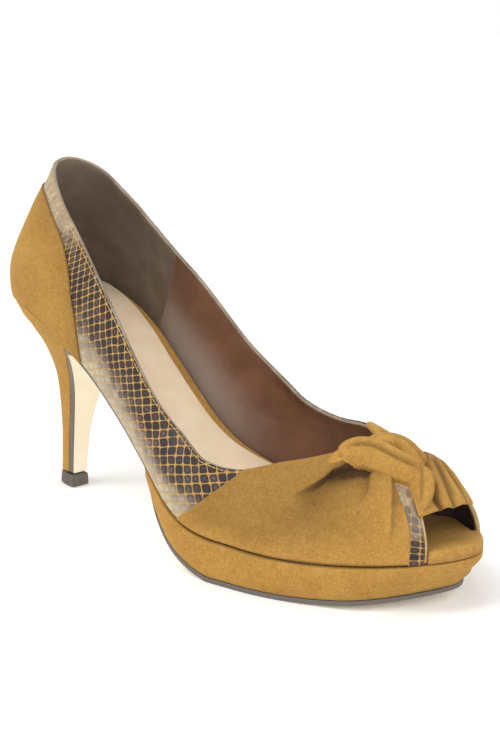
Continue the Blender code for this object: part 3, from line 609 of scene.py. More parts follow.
wallPiece("snakeQuarters", snake, "upper", -(vampColumn + 0.02), throatColumn - 0.004,
          outer=snakeOuter, inner=-upper["skin"], cols=420, look=snakeLook)


def liningLook(t, w, at):
    x = at[:, 0] / mm
    # Painted sheen: the lining lighter and greyer low down, between about 46 and 128 mm along
    sheen = smooth((0.62 - w) / 0.5) * smooth((x - 46) / 18) * smooth((128 - x) / 46)
    return {"shade": 0.72 * sheen}


gripEnd = columnAt(0.245)
liningDepth = -last["wall"]
wallPiece("heelGripLining", heelGrip, "upper", -gripEnd, gripEnd, outer=level(-upper["skin"]),
          inner=liningDepth - upper["gripDepth"], cols=220, top=level(upper["liningTop"]))
for label, side in (("outer", -1), ("inner", 1)):
    wallPiece(label + "Lining", liningLeather, "upper", side * (gripEnd - 0.006),
              side * throatColumn, outer=level(-upper["skin"]), inner=liningDepth, cols=200,
              top=level(upper["liningTop"]), look=liningLook)
    wallPiece(label + "ToeLining", toeLining, "upper", side * (throatColumn - 0.03),
              side * (trimColumn + 0.01), outer=level(-upper["skin"]), inner=liningDepth, cols=90,
              top=level(0.99))

# Folds pulled towards the knot: x along, across and strength, then width and depth in millimetres
foldRows = [
    ([(0.772, -0.34, 0.0), (0.790, -0.31, 0.6), (0.806, -0.27, 0.8)], 2.8, 0.6),
    ([(0.830, -0.20, 1.0), (0.822, -0.29, 1.0), (0.806, -0.40, 0.3)], 3.2, -1.1),
    ([(0.884, -0.12, 1.4), (0.892, -0.20, 1.2), (0.905, -0.34, 0.6), (0.914, -0.50, 0.0)], 1.8, -0.7),
    ([(0.780, -0.62, 0.3), (0.800, -0.58, 0.8), (0.825, -0.60, 0.4)], 7.0, -0.5),
    ([(0.70, -0.20, 0.0), (0.74, -0.22, 0.8), (0.78, -0.26, 1.0)], 5.0, 0.6),
]
pleatRows = [  # height, reach of the lip, reach of the drop, which side rises
    ([(0.836, -0.16, 1.0), (0.842, -0.23, 1.0), (0.853, -0.30, 1.0), (0.862, -0.38, 0.8),
      (0.865, -0.47, 0.45), (0.864, -0.58, 0.0)], 1.3, 6.0, 2.6, 1),
    ([(0.864, -0.12, 1.0), (0.873, -0.19, 1.0), (0.894, -0.35, 1.0), (0.908, -0.51, 0.8),
      (0.915, -0.65, 0.5), (0.919, -0.82, 0.0)], 1.2, 4.0, 2.4, -1),
    ([(0.764, -0.44, 0.0), (0.778, -0.42, 0.6), (0.790, -0.405, 1.0), (0.803, -0.385, 1.2),
      (0.814, -0.33, 1.3), (0.826, -0.25, 1.3), (0.838, -0.18, 1.2)], 1.2, 5.0, 3.0, 1),
]
paintedShadeRows = [  # painted shade in the pockets under the knot and beside the pleats: width in millimetres, then how dark
    ([(0.770, -0.43, 0.0), (0.788, -0.41, 0.5), (0.803, -0.39, 0.8), (0.814, -0.34, 1.0),
      (0.826, -0.26, 1.0)], 1.2, 0.9),
    ([(0.820, -0.29, 0.7), (0.832, -0.26, 1.0), (0.840, -0.215, 1.0)], 2.7, 1.0),
    ([(0.866, -0.10, 1.0), (0.880, -0.16, 1.0), (0.893, -0.22, 0.8), (0.906, -0.38, 0.3),
      (0.913, -0.55, 0.0)], 1.5, 0.85),
    ([(0.835, -0.20, 1.0), (0.843, -0.28, 0.6), (0.850, -0.36, 0.2)], 1.3, 0.7),
]


def foldRelief(x, across):
    soft = sum(trough(x, across, *row) for row in foldRows) * mm
    return soft + sum(pleat(x, across, *row) for row in pleatRows)


def vampOuter(t, w):
    x, across = lastPoint(t, w)[..., 0] / last["length"], -(1 - np.clip(w, 0, 1))
    relief = foldRelief(x, across) * np.where(t > 0, upper["farSide"], 1.0)
    nearTrim = smooth((np.abs(t) - trimColumn + 0.03) / 0.02)
    deepest = -upper["deepest"] - upper["deeperBehind"] * (1 - nearTrim)
    tuck = upper["vampTuck"] * smooth(1 - w / 0.025)
    return last["overlay"] + np.maximum(relief * smooth(w / 0.1), deepest) - tuck


def vampLook(t, w, at):
    x, across = at[:, 0] / last["length"], -(1 - np.clip(w, 0, 1))
    relief = foldRelief(x, across)
    # Painted shade: in the fold troughs, in the pockets under the knot and beside the pleats (half as strong
    # on the far side), over the middle of the vamp's front, and along its bottom edge where it tucks under
    foldTroughShade = np.clip(-relief / (1.6 * mm), 0, 0.7) - 0.12 * np.clip(relief / mm, 0, 1)
    dark = np.clip(sum(trough(x, across, *row) for row in paintedShadeRows), 0, 0.95) * np.where(t > 0, 0.5, 1.0)
    brushed = 0.32 * smooth((x - 0.54) / 0.10) * smooth((0.93 - x) / 0.12) * smooth(w / 0.30)
    shade = np.maximum(foldTroughShade, dark) + brushed + 0.35 * smooth(1 - w / 0.03)
    return {"shade": np.clip(shade, -0.15, 1)}


def vampSpread(u):
    return upper["trimSpread"] * np.clip((u - throatColumn) / (trimColumn - throatColumn), 0, 1)


for label, side, lowered in (("outer", -1, 0.0), ("inner", 1, 0.10)):
    wallPiece(label + "Vamp", suede, "upper", side * vampColumn, side * trimColumn, outer=vampOuter,
              inner=-upper["vampBase"], cols=300, rows=150, spread=vampSpread, look=vampLook, pinch=0.5 * mm,
              top=lambda t: 1 - lowered * smooth((throatColumn - 0.008 - np.abs(t)) / 0.012))


def pathFrame(path, v, step):  # points of a path, with the directions across it and away from the leather
    centre, up = path(v)
    ahead = unit(path(np.clip(v + step, 0, 1))[0] - path(np.clip(v - step, 0, 1))[0])
    up = unit(up - ahead * np.sum(up * ahead, -1, keepdims=True))
    return centre, np.cross(ahead, up), up


def tubePiece(name, path, radius, cols, rows, material, replaced):  # round cord along a path
    def place(a, v):
        centre, wide, up = pathFrame(path, v, 2e-3)
        angle = a * 2 * math.pi
        across, high = radius(v, angle)
        at = centre + wide * (np.cos(angle) * across)[:, None] + up * (np.sin(angle) * high)[:, None]
        return {"at": at}
    gridPiece(name, place, cols, rows, material, replaced)


def closing(v, power=40):
    return np.sqrt(np.clip(1 - np.abs(2 * v - 1) ** power, 0, 1))


def toplinePath(startColumn, endColumn, drop, lift):
    def path(v):
        t = startColumn + (endColumn - startColumn) * v
        w = 1 - drop / last["arch"] + 0 * t
        centre = onLast(t, w, lift + 0 * t)
        return centre, centre - onLast(t, w, lift - 1 * mm + 0 * t)
    return path


topline = {"edgeDrop": 0.05 * mm, "edgeLift": -0.78 * mm, "edgeHalf": 0.34 * mm, "edgeHigh": 0.88 * mm,
           "stitchDrop": 1.9 * mm, "stitchLift": 0.02 * mm, "stitchHalf": 0.20 * mm, "stitchHigh": 0.13 * mm,
           "threadBetween": 0.02 * mm, "stitches": 190}
edgeStart, edgeEnd = -(vampColumn + 0.01), throatColumn - 0.02


def edgeRadius(v, angle):
    return topline["edgeHalf"] * closing(v, 80), topline["edgeHigh"] * closing(v, 80)


def stitchRadius(v, angle):
    swell = np.abs(np.sin(v * topline["stitches"] * math.pi)) ** 0.5
    high = topline["stitchHigh"] * swell + topline["threadBetween"] * closing(v, 200)
    return topline["stitchHalf"] * swell, high


edgeLine = toplinePath(edgeStart, edgeEnd, topline["edgeDrop"], topline["edgeLift"])
tubePiece("toplineEdge", edgeLine, edgeRadius, 16, 700, edgeLeather, "upper")
stitchLine = toplinePath(edgeStart, vampColumn + 0.01, topline["stitchDrop"], topline["stitchLift"])
tubePiece("toplineStitch", stitchLine, stitchRadius, 6, topline["stitches"] * 8, thread, "upper")
print("upper made")

# Counter overlay, toe trim with its golden edge
counterRows = table([
    ("x", "w"),
    (0.000, 0.800), (0.060, 0.820), (0.100, 0.840), (0.135, 0.810), (0.165, 0.755), (0.195, 0.650),
    (0.220, 0.510), (0.245, 0.360), (0.266, 0.170), (0.280, 0.030),
])


counter = {"proud": 0.68 * mm, "wave": 0.10 * mm, "tuck": 0.2 * mm, "base": 0.1 * mm, "overhang": 0.008}


def counterTop(t):
    u = np.abs(t)
    x = np.where(u >= last["turn"], columnX(u), last["heelRound"] * u / last["turn"])
    return curve(x / last["length"], counterRows["x"], counterRows["w"])


def counterOuter(t, w):
    wave = counter["wave"] * np.sin(w * 9 + t * 14) * smooth((counterTop(t) - w) / 0.2)
    return counter["proud"] + wave - counter["tuck"] * smooth(1 - w / 0.02)


def counterLook(t, w, at):
    # Painted shade: a dark line along the top edge where the counter runs under the snake, darker towards
    # that edge, and a little darker all over
    above = w - counterTop(t)
    return {"shade": 0.30 * smooth(1 - np.abs(above) / 0.02) + 0.10 + 0.18 * smooth((above + 0.35) / 0.35)}


counterEnd = columnAt(counterRows["x"][-1])
wallPiece("counterOverlay", suede, "counter", -counterEnd, counterEnd, outer=counterOuter,
          inner=counter["base"], cols=260, rows=130, low=level(-counter["overhang"]), top=counterTop,
          look=counterLook)


trim = {"cell": 2.7 * mm, "edgeHalf": 0.5 * mm, "edgeHigh": 0.85 * mm, "edgeLift": -0.8 * mm}


def trimLook(t, w, at):
    cells = np.stack([(np.abs(t) - trimColumn) * last["length"] / trim["cell"] + 0.05, w * 12.5 + 0.3], -1)
    # The print paler up the trim; its top, under the knot's band, darker as painted shadow
    return {"uv": cells, "shade": 0.05 + 0.50 * smooth((w - 0.20) / 0.25) - 0.75 * smooth((w - 0.80) / 0.12)}


def goldenRadius(v, angle):
    return trim["edgeHalf"] * closing(v), trim["edgeHigh"] * closing(v)


for label, side in (("outer", -1), ("inner", 1)):
    wallPiece(label + "ToeTrim", snake, "toe_trim", side * (trimColumn - 0.006), side * 1.0,
              outer=level(0.0), inner=-last["wall"], cols=40, rows=150, look=trimLook, pinch=0.6 * mm,
              spread=lambda u: upper["trimSpread"] * np.clip((1 - u) / (1 - trimColumn), 0, 1))

    def frontPath(v):
        t = side * (1.0 + 0 * v)
        centre = onLast(t, v * 0.98, trim["edgeLift"] + 0 * v)
        return centre, centre - onLast(t, v * 0.98, trim["edgeLift"] - 1 * mm + 0 * v)

    tubePiece(label + "GoldenEdge", frontPath, goldenRadius, 14, 120, goldEdge, "toe_trim")
print("overlays made")

# Knot: strands as shares of its height, gathered wing over the open toe
knot = {"height": 11 * mm, "seat": 1.3 * mm, "wingThickness": 1.5 * mm, "wingStart": 0.851,
        "wingLeftEnd": 0.940, "wingRightEnd": 0.962, "wingBow": 0.010, "crease": 0.13}
bandRows = table([
    ("x", "across", "lift", "width", "thick", "tilt"),
    (0.790, -0.30, -0.36, 0.36, 0.20, -10), (0.800, -0.255, 0.05, 0.80, 0.32, -25),
    (0.808, -0.21, 0.27, 1.06, 0.42, -38), (0.823, -0.165, 0.36, 1.12, 0.46, -42),
    (0.845, -0.15, 0.36, 1.12, 0.48, -42), (0.870, -0.14, 0.31, 1.10, 0.48, -40),
    (0.892, -0.10, 0.20, 1.00, 0.44, -32), (0.906, -0.04, 0.02, 0.80, 0.36, -15),
])
loopRows = table([
    ("x", "across", "lift", "width", "thick", "tilt"),
    (0.807, -0.10, 0.08, 0.70, 0.45, 0), (0.816, -0.02, 0.28, 0.82, 0.60, 0),
    (0.832, 0.03, 0.32, 0.90, 0.62, 0), (0.852, 0.04, 0.24, 0.90, 0.58, 0),
    (0.872, 0.04, 0.10, 0.84, 0.50, 0), (0.888, 0.04, -0.04, 0.70, 0.40, 0),
])
farLoopRows = table([  # back in millimetres, since the vamp is open there
    ("x", "across", "lift", "width", "thick", "tilt", "back"),
    (0.812, 0.02, 0.10, 0.36, 0.18, 0, 0), (0.806, 0.06, 0.32, 0.42, 0.19, 0, 6),
    (0.804, 0.12, 0.37, 0.44, 0.20, 0, 11), (0.806, 0.19, 0.30, 0.46, 0.20, 0, 12),
    (0.822, 0.25, 0.14, 0.52, 0.24, 0, 6), (0.852, 0.29, 0.00, 0.60, 0.30, 0, 0),
])
lensRows = table([
    ("x", "across", "lift", "width", "thick", "tilt"),
    (0.880, -0.01, 0.18, 0.45, 0.30, -10), (0.895, -0.06, 0.26, 0.72, 0.30, -25),
    (0.912, -0.15, 0.27, 0.88, 0.28, -38), (0.927, -0.26, 0.22, 0.74, 0.26, -38),
    (0.939, -0.41, 0.12, 0.36, 0.20, -25),
])


def strandPiece(name, rows, ridges, creases=(), cols=72, count=150, taper=10):
    index = np.arange(len(rows["x"]), dtype=float)

    def column(label, v):
        return curve(np.clip(v, 0, 1) * index[-1], index, rows[label])

    def path(v):
        at, normal = overCrest(column("x", v), column("across", v), column("lift", v) * knot["height"])
        if "back" in rows:
            at = at - column("back", v)[:, None] * np.array([mm, 0, -0.02 * mm])
        return at, normal

    def place(a, v):
        centre, wide, up = pathFrame(path, v, 4e-3)
        tilt = np.radians(column("tilt", v))[:, None]
        wide, up = wide * np.cos(tilt) + up * np.sin(tilt), up * np.cos(tilt) - wide * np.sin(tilt)
        angle = a * 2 * math.pi
        wave = sum(size * np.cos(waves * angle + start + twist * v) for waves, size, start, twist in ridges)
        for middle, drift, narrow, begins, ends in creases:
            groove = np.exp(-((angle - middle - drift * v) / narrow) ** 2)
            wave = wave - knot["crease"] * (groove * smooth((v - begins) / 0.15) * smooth((ends - v) / 0.15))
        end = closing(v, taper)
        across = column("width", v) * knot["height"] / 2 * (1 + wave) * end
        high = column("thick", v) * knot["height"] / 2 * (1 + wave) * end
        flat = np.abs(np.sin(angle)) ** 0.75 * np.sign(np.sin(angle))
        at = centre + wide * (np.cos(angle) * across)[:, None] + up * (flat * high)[:, None]
        # Painted shade: darker in the grooves and creases, at the tucked ends and on the underside
        shade = np.clip(-wave * 4.0, -0.1, 0.5) + 0.4 * (1 - end) + 0.35 * smooth(-np.sin(angle))
        return {"at": at, "shade": shade}
    gridPiece(name, place, cols, count, suede, "knot")


strandPiece("knotBand", bandRows, [(3, 0.022, 0.8, 1.5), (7, 0.016, 2.0, -2.0)],
            creases=[(2.35, -0.5, 0.20, 0.22, 0.92)], cols=120)
strandPiece("knotLoop", loopRows, [(3, 0.04, 2.2, 2.0), (5, 0.03, 0.5, -2.5)],
            creases=[(1.3, 0.3, 0.2, 0.2, 1.0)], cols=90)
strandPiece("knotFarLoop", farLoopRows, [(3, 0.04, 0.2, 2.0), (5, 0.02, 1.0, 2.0)])
strandPiece("knotLens", lensRows, [(3, 0.03, 0.2, 1.0)], creases=[(1.9, -0.4, 0.22, 0.1, 0.9)], taper=3)

wingRows = table([
    ("along", "left", "right", "thick"),
    (0.00, 0.00, 0.26, 0.18), (0.20, -0.01, 0.30, 0.27), (0.45, -0.06, 0.31, 0.26), (0.65, -0.18, 0.30, 0.22),
    (0.84, -0.33, 0.28, 0.19), (1.00, -0.44, 0.26, 0.16),
])
wingFolds = [  # x, across and strength, then width and depth in millimetres
    ([(0.835, 0.22, 0.3), (0.871, 0.06, 1.0), (0.906, -0.09, 1.0), (0.925, -0.15, 0.9),
      (0.950, -0.24, 0.7)], 1.3, 1.3),
    ([(0.858, 0.15, 0.5), (0.894, 0.01, 1.0), (0.921, -0.07, 1.0), (0.940, -0.17, 0.8),
      (0.960, -0.27, 0.6)], 1.1, 0.9),
    ([(0.868, 0.18, 0.5), (0.890, 0.10, 1.0), (0.917, 0.03, 1.0), (0.942, -0.02, 0.9),
      (0.965, -0.10, 0.8)], 1.3, 1.2),
    ([(0.875, 0.22, 0.5), (0.900, 0.16, 1.0), (0.930, 0.12, 1.0), (0.968, 0.06, 0.8)], 1.3, 1.0),
    ([(0.880, 0.27, 0.5), (0.905, 0.23, 1.0), (0.968, 0.18, 0.8)], 1.2, 0.8),
]


def wingPlace(a, v):
    face, share, turn = ringFace(v, 0.05)
    left, right, thick = (curve(a, wingRows["along"], wingRows[n]) for n in ("left", "right", "thick"))
    across = left + (right - left) * share
    end = knot["wingLeftEnd"] + (knot["wingRightEnd"] - knot["wingLeftEnd"]) * share
    end = end + knot["wingBow"] * np.sin(math.pi * share)
    x = knot["wingStart"] + a * (end - knot["wingStart"])
    crown = np.sqrt(np.sin(math.pi * np.clip(share, 0.015, 0.985)))
    fold = sum(trough(x, across, *row) for row in wingFolds) * mm
    wave = 0.35 * mm * np.sin(share * 17 + a * 2.0) * a
    top = knot["seat"] + thick * crown * knot["height"] - fold * (0.5 + 0.5 * crown) + wave
    fromEnd = np.clip((1 - a) / 0.035, 0, 1)
    half = knot["wingThickness"] / 2 * np.sqrt(1 - (1 - fromEnd) ** 2) * np.sqrt(np.clip(a / 0.02, 0, 1))
    at, _ = overCrest(x, across, top - knot["wingThickness"] / 2 + face * half)
    at[:, 1] += turn * half
    # Painted shade: darker in the fold troughs, near the wing's start under the knot, and on its underside
    shade = np.clip(fold / (1.6 * mm), 0, 0.8) + 0.5 * smooth(1 - a / 0.25)
    return {"at": at, "shade": np.clip(np.where(face < 0, 0.6, shade), 0, 1)}


gridPiece("knotWing", wingPlace, 150, 220, suede, "knot")
print("knot made")

# Bottom: plates between two heights with eased edges
bottom = {"soleThickness": 1.8 * mm, "soleEdge": 0.9 * mm, "toeSpring": 7.2 * mm, "platformStart": 0.456,
          "flatStart": 0.64, "flatEnd": 0.74, "undercut": 6.5 * mm, "insole": 2.4 * mm, "toePad": 4.6 * mm,
          "sock": 1.0 * mm, "lowRound": 0.7 * mm, "topRound": 1.3 * mm, "sockRound": 0.5 * mm}


def soleLine(x):
    s = x / last["length"]
    t = np.clip((s - bottom["platformStart"]) / (bottom["flatStart"] - bottom["platformStart"]), 0, 1)
    spring = bottom["toeSpring"] * np.clip((s - bottom["flatEnd"]) / (1 - bottom["flatEnd"]), 0, 1) ** 2
    return (featherHeight(x) - bottom["soleThickness"] - last["gap"]) * (1 - t) ** 1.15 + spring


def platePiece(name, start, end, sideShape, cols, rows, material, replaced, look):
    # sideShape gives inset and height at share q up the side face; the top and bottom run straight across
    def place(a, j):
        v = start + (end - start) * a
        q = np.interp(j, [0, 0.40, 0.50, 0.90, 1.0], [0, 1, 1, 0, 0])
        mix = np.interp(j, [0, 0.40, 0.50, 0.90, 1.0], [0, 0, 1, 1, 0])
        edges = []
        for side in (-1.0, 1.0):
            plan = edgePoint(side + 0 * v, v, sideShape(side, v, q)[0])
            height = sideShape(side, v, q, plan[:, 0])[1]
            edges.append(np.concatenate([plan, height[:, None]], 1))
        at = edges[0] * (1 - mix)[:, None] + edges[1] * mix[:, None]
        return {"at": at, "shade": look(q, mix, at[:, 0])}
    gridPiece(name, place, cols, rows, material, replaced)


def easedSide(q, depth, rounding):  # q runs up the side; returns inset from rounding and share of the height
    edge = 0.18
    up = np.clip((q - edge) / (1 - 2 * edge), 0, 1)
    bottomTurn, topTurn = np.clip(1 - q / edge, 0, 1), np.clip((q - 1 + edge) / edge, 0, 1)
    turn = np.maximum(bottomTurn, topTurn) * math.pi / 2
    return rounding * (1 - np.cos(turn)), (up * (depth - 2 * rounding) + rounding
                                          + rounding * np.sin(turn) * np.where(topTurn > 0, 1, -1))


def platformShape(side, v, q, px=None):
    s = edgeX(v) / last["length"]
    under = smooth((s - 0.86) / 0.14) * bottom["undercut"]
    proud = bottom["soleEdge"] * smooth((s - bottom["platformStart"]) / 0.1)
    proud = proud * (1 - 0.8 * smooth((s - 0.85) / 0.13))
    low, mid = under - 0.4 * proud, under * 0.55 - proud
    below = low + (mid - low) * smooth(q / 0.3)
    above = mid + (-proud - mid) * smooth((q - 0.3) / 0.5)
    inset = np.where(q < 0.3, below, above)
    inset = inset + bottom["lowRound"] * eased(1 - q / 0.06) + bottom["topRound"] * eased((q - 0.88) / 0.12)
    if px is None:
        return inset, None
    base = soleLine(px) + bottom["soleThickness"] + last["gap"] * 0.3
    return inset, base + (featherHeight(px) - 0.1 * mm - base) * q


def platformLook(q, mix, x):
    # Painted shade: darker at the top edge, where the platform meets the upper, and a little low on the side
    # above the sole
    return 0.55 * smooth((q - 0.93) / 0.07) + 0.12 * smooth(1 - q / 0.15)


platePiece("platformCover", edgeShare((bottom["platformStart"] + 0.012) * last["length"]), 1.0, platformShape,
           200, 90, suede, "platform", platformLook)


def soleShape(side, v, q, px=None):
    s = edgeX(v) / last["length"]
    onPlatform = smooth((s - bottom["platformStart"]) / 0.06)
    under = smooth((s - 0.86) / 0.14) * bottom["undercut"]
    ease, up = easedSide(q, bottom["soleThickness"], 0.3 * mm)
    inset = 1.2 * mm * (1 - onPlatform) - 0.3 * mm * onPlatform + under + ease
    return inset, None if px is None else soleLine(px) + up


def soleLook(q, mix, x):
    return np.where((q > 0.02) & ((mix < 0.001) | (mix > 0.999)), 1.0, 0.0)


platePiece("soleLeather", edgeShare(0.240 * last["length"]), 1.0, soleShape, 260, 60, soleLeather, "outsole",
           soleLook)


def insoleShape(side, v, q, px=None):
    inside = last["wall"] + 3 * last["gap"]
    x = edgeX(v)
    pastTrim = smooth((x - last["opening"] * last["length"] - 0.2 * mm) / (0.7 * mm))
    pad = smooth((x / last["length"] - 0.82) / 0.08) * (bottom["toePad"] - bottom["insole"])
    rounding = 0.4 * mm + 3.6 * mm * smooth((x / last["length"] - 0.87) / 0.08)
    inset = inside * (1 - pastTrim) - 0.1 * mm * pastTrim
    inset = inset + rounding * eased((q - 0.10) / 0.90)
    if px is None:
        return inset, None
    height = (bottom["insole"] + pad) * np.sin(np.clip(q, 0, 1) * math.pi / 2) ** 0.9
    return inset, featherHeight(px) + last["gap"] * 0.3 + height


def insoleLook(q, mix, x):
    s = x / last["length"]
    # Painted shade: darker under the knot, and low on the side edge
    shadeUnderKnot = smooth((0.925 - s) / 0.098) * smooth((s - 0.8) / 0.0356)
    return 0.8 * shadeUnderKnot + 0.3 * smooth(1 - q / 0.3)


platePiece("insoleCover", 0.0, 1.0, insoleShape, 260, 70, insoleSuede, "insole", insoleLook)

sockRows = table([
    ("x", "outer", "inner"),
    (0.00, 0.040, 0.040), (0.12, 0.040, 0.055), (0.25, 0.040, 0.082), (0.36, 0.040, 0.094),
    (0.46, 0.040, 0.084), (0.56, 0.040, 0.056), (0.66, 0.040, 0.042), (0.80, 0.040, 0.040),
])


def sockShape(side, v, q, px=None):
    s = edgeX(v) / last["length"]
    share = curve(s, sockRows["x"], sockRows["outer" if side < 0 else "inner"])
    inset = share * last["ball"] + bottom["sockRound"] * eased((q - 0.4) / 0.6)
    if px is None:
        return inset, None
    return inset, featherHeight(px) + bottom["insole"] + 1.2 * last["gap"] + bottom["sock"] * q


def sockLook(q, mix, x):
    # Painted shade: darker low on the side edge, and towards the front where the sock runs in under the vamp
    return 0.5 * smooth(1 - q / 0.8) + 0.35 * smooth((x - 110 * mm) / (60 * mm))


platePiece("sockCover", 0.0, edgeShare(last["throat"] * last["length"]), sockShape, 220, 60, sockLeather,
           "sock", sockLook)

# Heel: round back, flat breast under the sole's flap
flapRows = table([
    ("x", "z", "half", "centre"),
    (0.1391, 0.065, 0.051, 0.0), (0.1409, 0.177, 0.055, 0.0), (0.1453, 0.313, 0.064, 0.0),
    (0.1591, 0.498, 0.096, 0.1), (0.1756, 0.614, 0.144, 0.3), (0.1978, 0.713, 0.212, 0.6),
    (0.2222, 0.768, 0.275, 0.9), (0.2489, 0.780, 0.300, 1.0),
])
heelRows = table([
    ("x", "z", "round"),
    (0.0929, 0.065, 1.00), (0.0933, 0.185, 1.00), (0.0920, 0.325, 1.00), (0.0872, 0.516, 0.95),
    (0.0825, 0.643, 0.92), (0.0720, 0.765, 0.88), (0.0560, 0.872, 0.78), (0.0290, 0.958, 0.64),
])
flapThickness = 3.0 * mm
flapIndex = np.arange(8.0)


heelForm = {"breastFrom": 0.82, "proud": 0.75 * mm}


def flapValue(i, label):
    return curve(i, flapIndex, flapRows[label])


def flapRow(i):
    x, z = flapValue(i, "x") * last["length"], flapValue(i, "z") * last["seat"]
    e = 0.02
    dx = (flapValue(i + e, "x") - flapValue(i - e, "x")) * last["length"]
    dz = (flapValue(i + e, "z") - flapValue(i - e, "z")) * last["seat"]
    size = np.maximum(np.hypot(dx, dz), 1e-9)
    half = flapValue(i, "half") * last["ball"]
    return x, z, -dz / size, dx / size, half, outline(x)[1] * flapValue(i, "centre")


def sealed(at, middle, r):  # draws the first and last rows together, which closes the tube
    share = np.clip(np.minimum(r / 0.01, (1 - r) / 0.01), 0, 1)[:, None]
    return middle * (1 - share) + at * share


def heelPlace(j, r):
    i = np.clip(r, 0, 1) * 8
    theta = np.interp(j, [0, heelForm["breastFrom"], 1.0], [-1, 1, -1])
    onBreast = j > heelForm["breastFrom"]
    share = 1 - np.cos(np.where(onBreast, 1.0, np.abs(theta)) * math.pi / 2)
    low = np.minimum(i, 7)
    x, z, nx, nz, half, centre = flapRow(low)
    t = flapThickness + last["gap"] * 0.5
    front = np.stack([x + nx * t, z + nz * t], -1)
    back = np.stack([curve(low, flapIndex, heelRows["x"]) * last["length"],
                     curve(low, flapIndex, heelRows["z"]) * last["seat"]], -1)
    arc = np.minimum(share / curve(low, flapIndex, heelRows["round"]), 1)
    wide = half * np.sqrt(np.maximum(1 - (1 - arc) ** 2, 0))
    lateral = np.where(onBreast, theta, np.sign(theta))
    proud = heelForm["proud"] * np.clip((r - 0.45) / 0.4, 0, 1) * (1 - share * 0.6)
    spread = proud * np.clip(wide / (6 * mm), 0, 1)
    flat = back + (front - back) * share[:, None]
    ring = np.stack([flat[:, 0] - proud, centre + lateral * (wide + spread), flat[:, 1]], -1)
    seatX = flapRows["x"][-1] * last["length"] * share
    seatHalf, seatCentre = outline(seatX)
    seat = np.stack([seatX - proud, seatCentre + lateral * (seatHalf + spread), featherHeight(seatX)], -1)
    up = np.clip(i - 7, 0, 1)[:, None]
    middle = np.stack([(back[:, 0] + front[:, 0]) / 2, centre, (back[:, 1] + front[:, 1]) / 2], -1)
    shade = 0.10 * smooth(1 - np.abs(theta) / 0.5) * (1 - r)
    return {"at": sealed(ring * (1 - up) + seat * up, middle, r), "shade": shade}


gridPiece("heelCover", heelPlace, 110, 170, suede, "heel")


def flapPlace(j, r):
    x, z, nx, nz, half, centre = flapRow(r * 7)
    corners = [0, 0.19, 0.20, 0.28, 0.29, 0.71, 0.72, 0.80, 0.81, 1.0]
    y = np.interp(j, corners, [0, 0.985, 1, 1, 0.985, -0.985, -1, -1, -0.985, 0])
    depth = np.interp(j, corners, [0, 0, 0.03, 0.97, 1, 1, 0.97, 0.03, 0, 0])
    ease = 0.25 * mm
    y = centre + y * (half - ease * (np.abs(depth - 0.5) * 2) ** 6)
    t = depth * flapThickness
    middle = np.stack([x + nx * flapThickness / 2, centre, z + nz * flapThickness / 2], -1)
    at = np.stack([x + nx * t, y, z + nz * t], -1)
    onSide = (j > 0.195) & (j < 0.285) | (j > 0.715) & (j < 0.805)
    return {"at": sealed(at, middle, r), "shade": np.where(onSide, 1.0, 0.0)}


gridPiece("heelFlap", flapPlace, 100, 130, soleLeather, "outsole")

topPiece = {"length": 11.4 * mm, "width": 8.6 * mm, "height": 5.3 * mm, "flare": 0.3 * mm, "ease": 0.35 * mm,
            "behind": 0.6 * mm}


def topPiecePlace(j, r):
    theta = np.interp(j, [0, 0.72, 1.0], [-1, 1, -1])
    onFront = j > 0.72
    share = np.where(onFront, 1.0, 1 - np.cos(np.abs(theta) * math.pi / 2))
    up = np.interp(r, [0, 0.12, 0.22, 0.80, 0.90, 1.0], [0, 0, 0.12, 0.90, 1, 1])
    edges = np.clip(1 - up / 0.12, 0, 1) + np.clip((up - 0.9) / 0.1, 0, 1)
    grow = topPiece["flare"] * (1 - up) - topPiece["ease"] * edges
    inward = np.interp(r, [0, 0.12, 0.90, 1.0], [0, 1, 1, 0])
    x0 = heelRows["x"][0] * last["length"] - topPiece["behind"]
    arc = np.minimum(share / 0.9, 1)
    lateral = np.where(onFront, theta, np.sign(theta))
    wide = (topPiece["width"] / 2 + grow) * np.sqrt(np.maximum(1 - (1 - arc) ** 2, 0))
    x = x0 - grow + (topPiece["length"] + 2 * grow) * share
    middle = x0 + topPiece["length"] / 2
    at = np.stack([middle + (x - middle) * inward, lateral * wide * inward, up * topPiece["height"]], -1)
    return {"at": at}


gridPiece("topPieceBlock", topPiecePlace, 80, 40, topRubber, "top_piece")
print("bottom made")

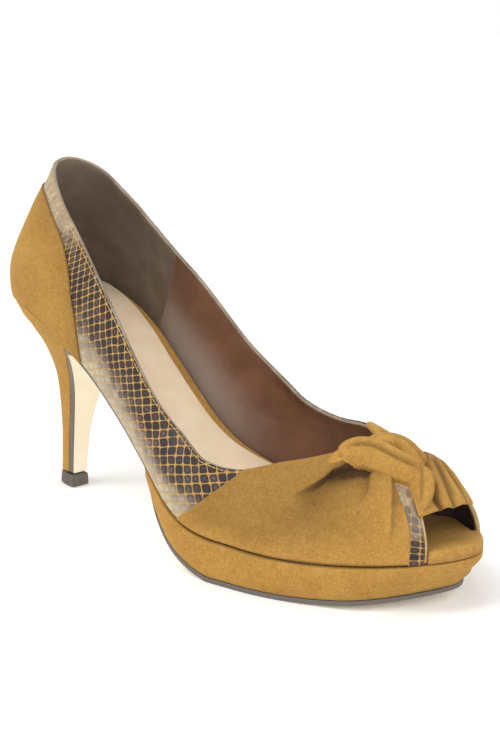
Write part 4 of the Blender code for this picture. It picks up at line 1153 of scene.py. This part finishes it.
# Floor, light and camera
studio = {"floorTone": 0.92, "worldStrength": 1.0, "keyStrength": 1.15, "keyAngle": 28.0, "fillPower": 1.6}
floorMesh = bpy.data.meshes.new("floor")
floorBm = bmesh.new()
bmesh.ops.create_grid(floorBm, x_segments=1, y_segments=1, size=60.0)
floorBm.to_mesh(floorMesh)
floorBm.free()
floor = bpy.data.objects.new("floor", floorMesh)
bpy.context.scene.collection.objects.link(floor)
floorMaterial, floorTree, floorShader = newMaterial("paleFloor", 0.9)
floorShader.inputs["Base Color"].default_value = (studio["floorTone"],) * 3 + (1.0,)
floorMesh.materials.append(floorMaterial)

world = bpy.data.worlds.new("studio")
world.use_nodes = True
world.node_tree.nodes["Background"].inputs["Color"].default_value = (1.0, 1.0, 1.0, 1.0)
world.node_tree.nodes["Background"].inputs["Strength"].default_value = studio["worldStrength"]
bpy.context.scene.world = world
bpy.context.scene.view_settings.view_transform = "Standard"


def softLight(name, at, aim, size, power):
    light = bpy.data.lights.new(name, "AREA")
    light.energy, light.size = power, size
    lamp = bpy.data.objects.new(name, light)
    lamp.location = at
    lamp.rotation_euler = (Vector(aim) - Vector(at)).to_track_quat("-Z", "Y").to_euler()
    bpy.context.scene.collection.objects.link(lamp)


key = bpy.data.lights.new("key", "SUN")
key.energy, key.angle = studio["keyStrength"], math.radians(studio["keyAngle"])
keyLamp = bpy.data.objects.new("key", key)
keyLamp.rotation_euler = Vector((0.30, 0.62, -0.95)).to_track_quat("-Z", "Y").to_euler()
bpy.context.scene.collection.objects.link(keyLamp)
softLight("fill", (0.75, -0.35, 0.65), (0, 0, 0.05), 0.6, studio["fillPower"])

view = {"place": (0.4783, -0.3994, 0.2064), "right": (0.7436, 0.6672, 0.0438),
        "up": (-0.1978, 0.1569, 0.9676), "focalPixels": 1423.5, "imageHeight": 750, "sensor": 36.0}
right, up = Vector(view["right"]).normalized(), Vector(view["up"]).normalized()
back = right.cross(up).normalized()
camera = bpy.data.cameras.new("camera")
camera.sensor_fit, camera.sensor_width = "AUTO", view["sensor"]
camera.lens = view["focalPixels"] * view["sensor"] / view["imageHeight"]
camera.clip_start, camera.clip_end = 0.01, 20
cameraObject = bpy.data.objects.new("camera", camera)
place = Vector(view["place"]) + Vector(lastOrigin)
cameraObject.matrix_world = Matrix(((right.x, up.x, back.x, place.x), (right.y, up.y, back.y, place.y),
                                    (right.z, up.z, back.z, place.z), (0, 0, 0, 1)))
bpy.context.scene.collection.objects.link(cameraObject)
bpy.context.scene.camera = cameraObject

print("scene ready")
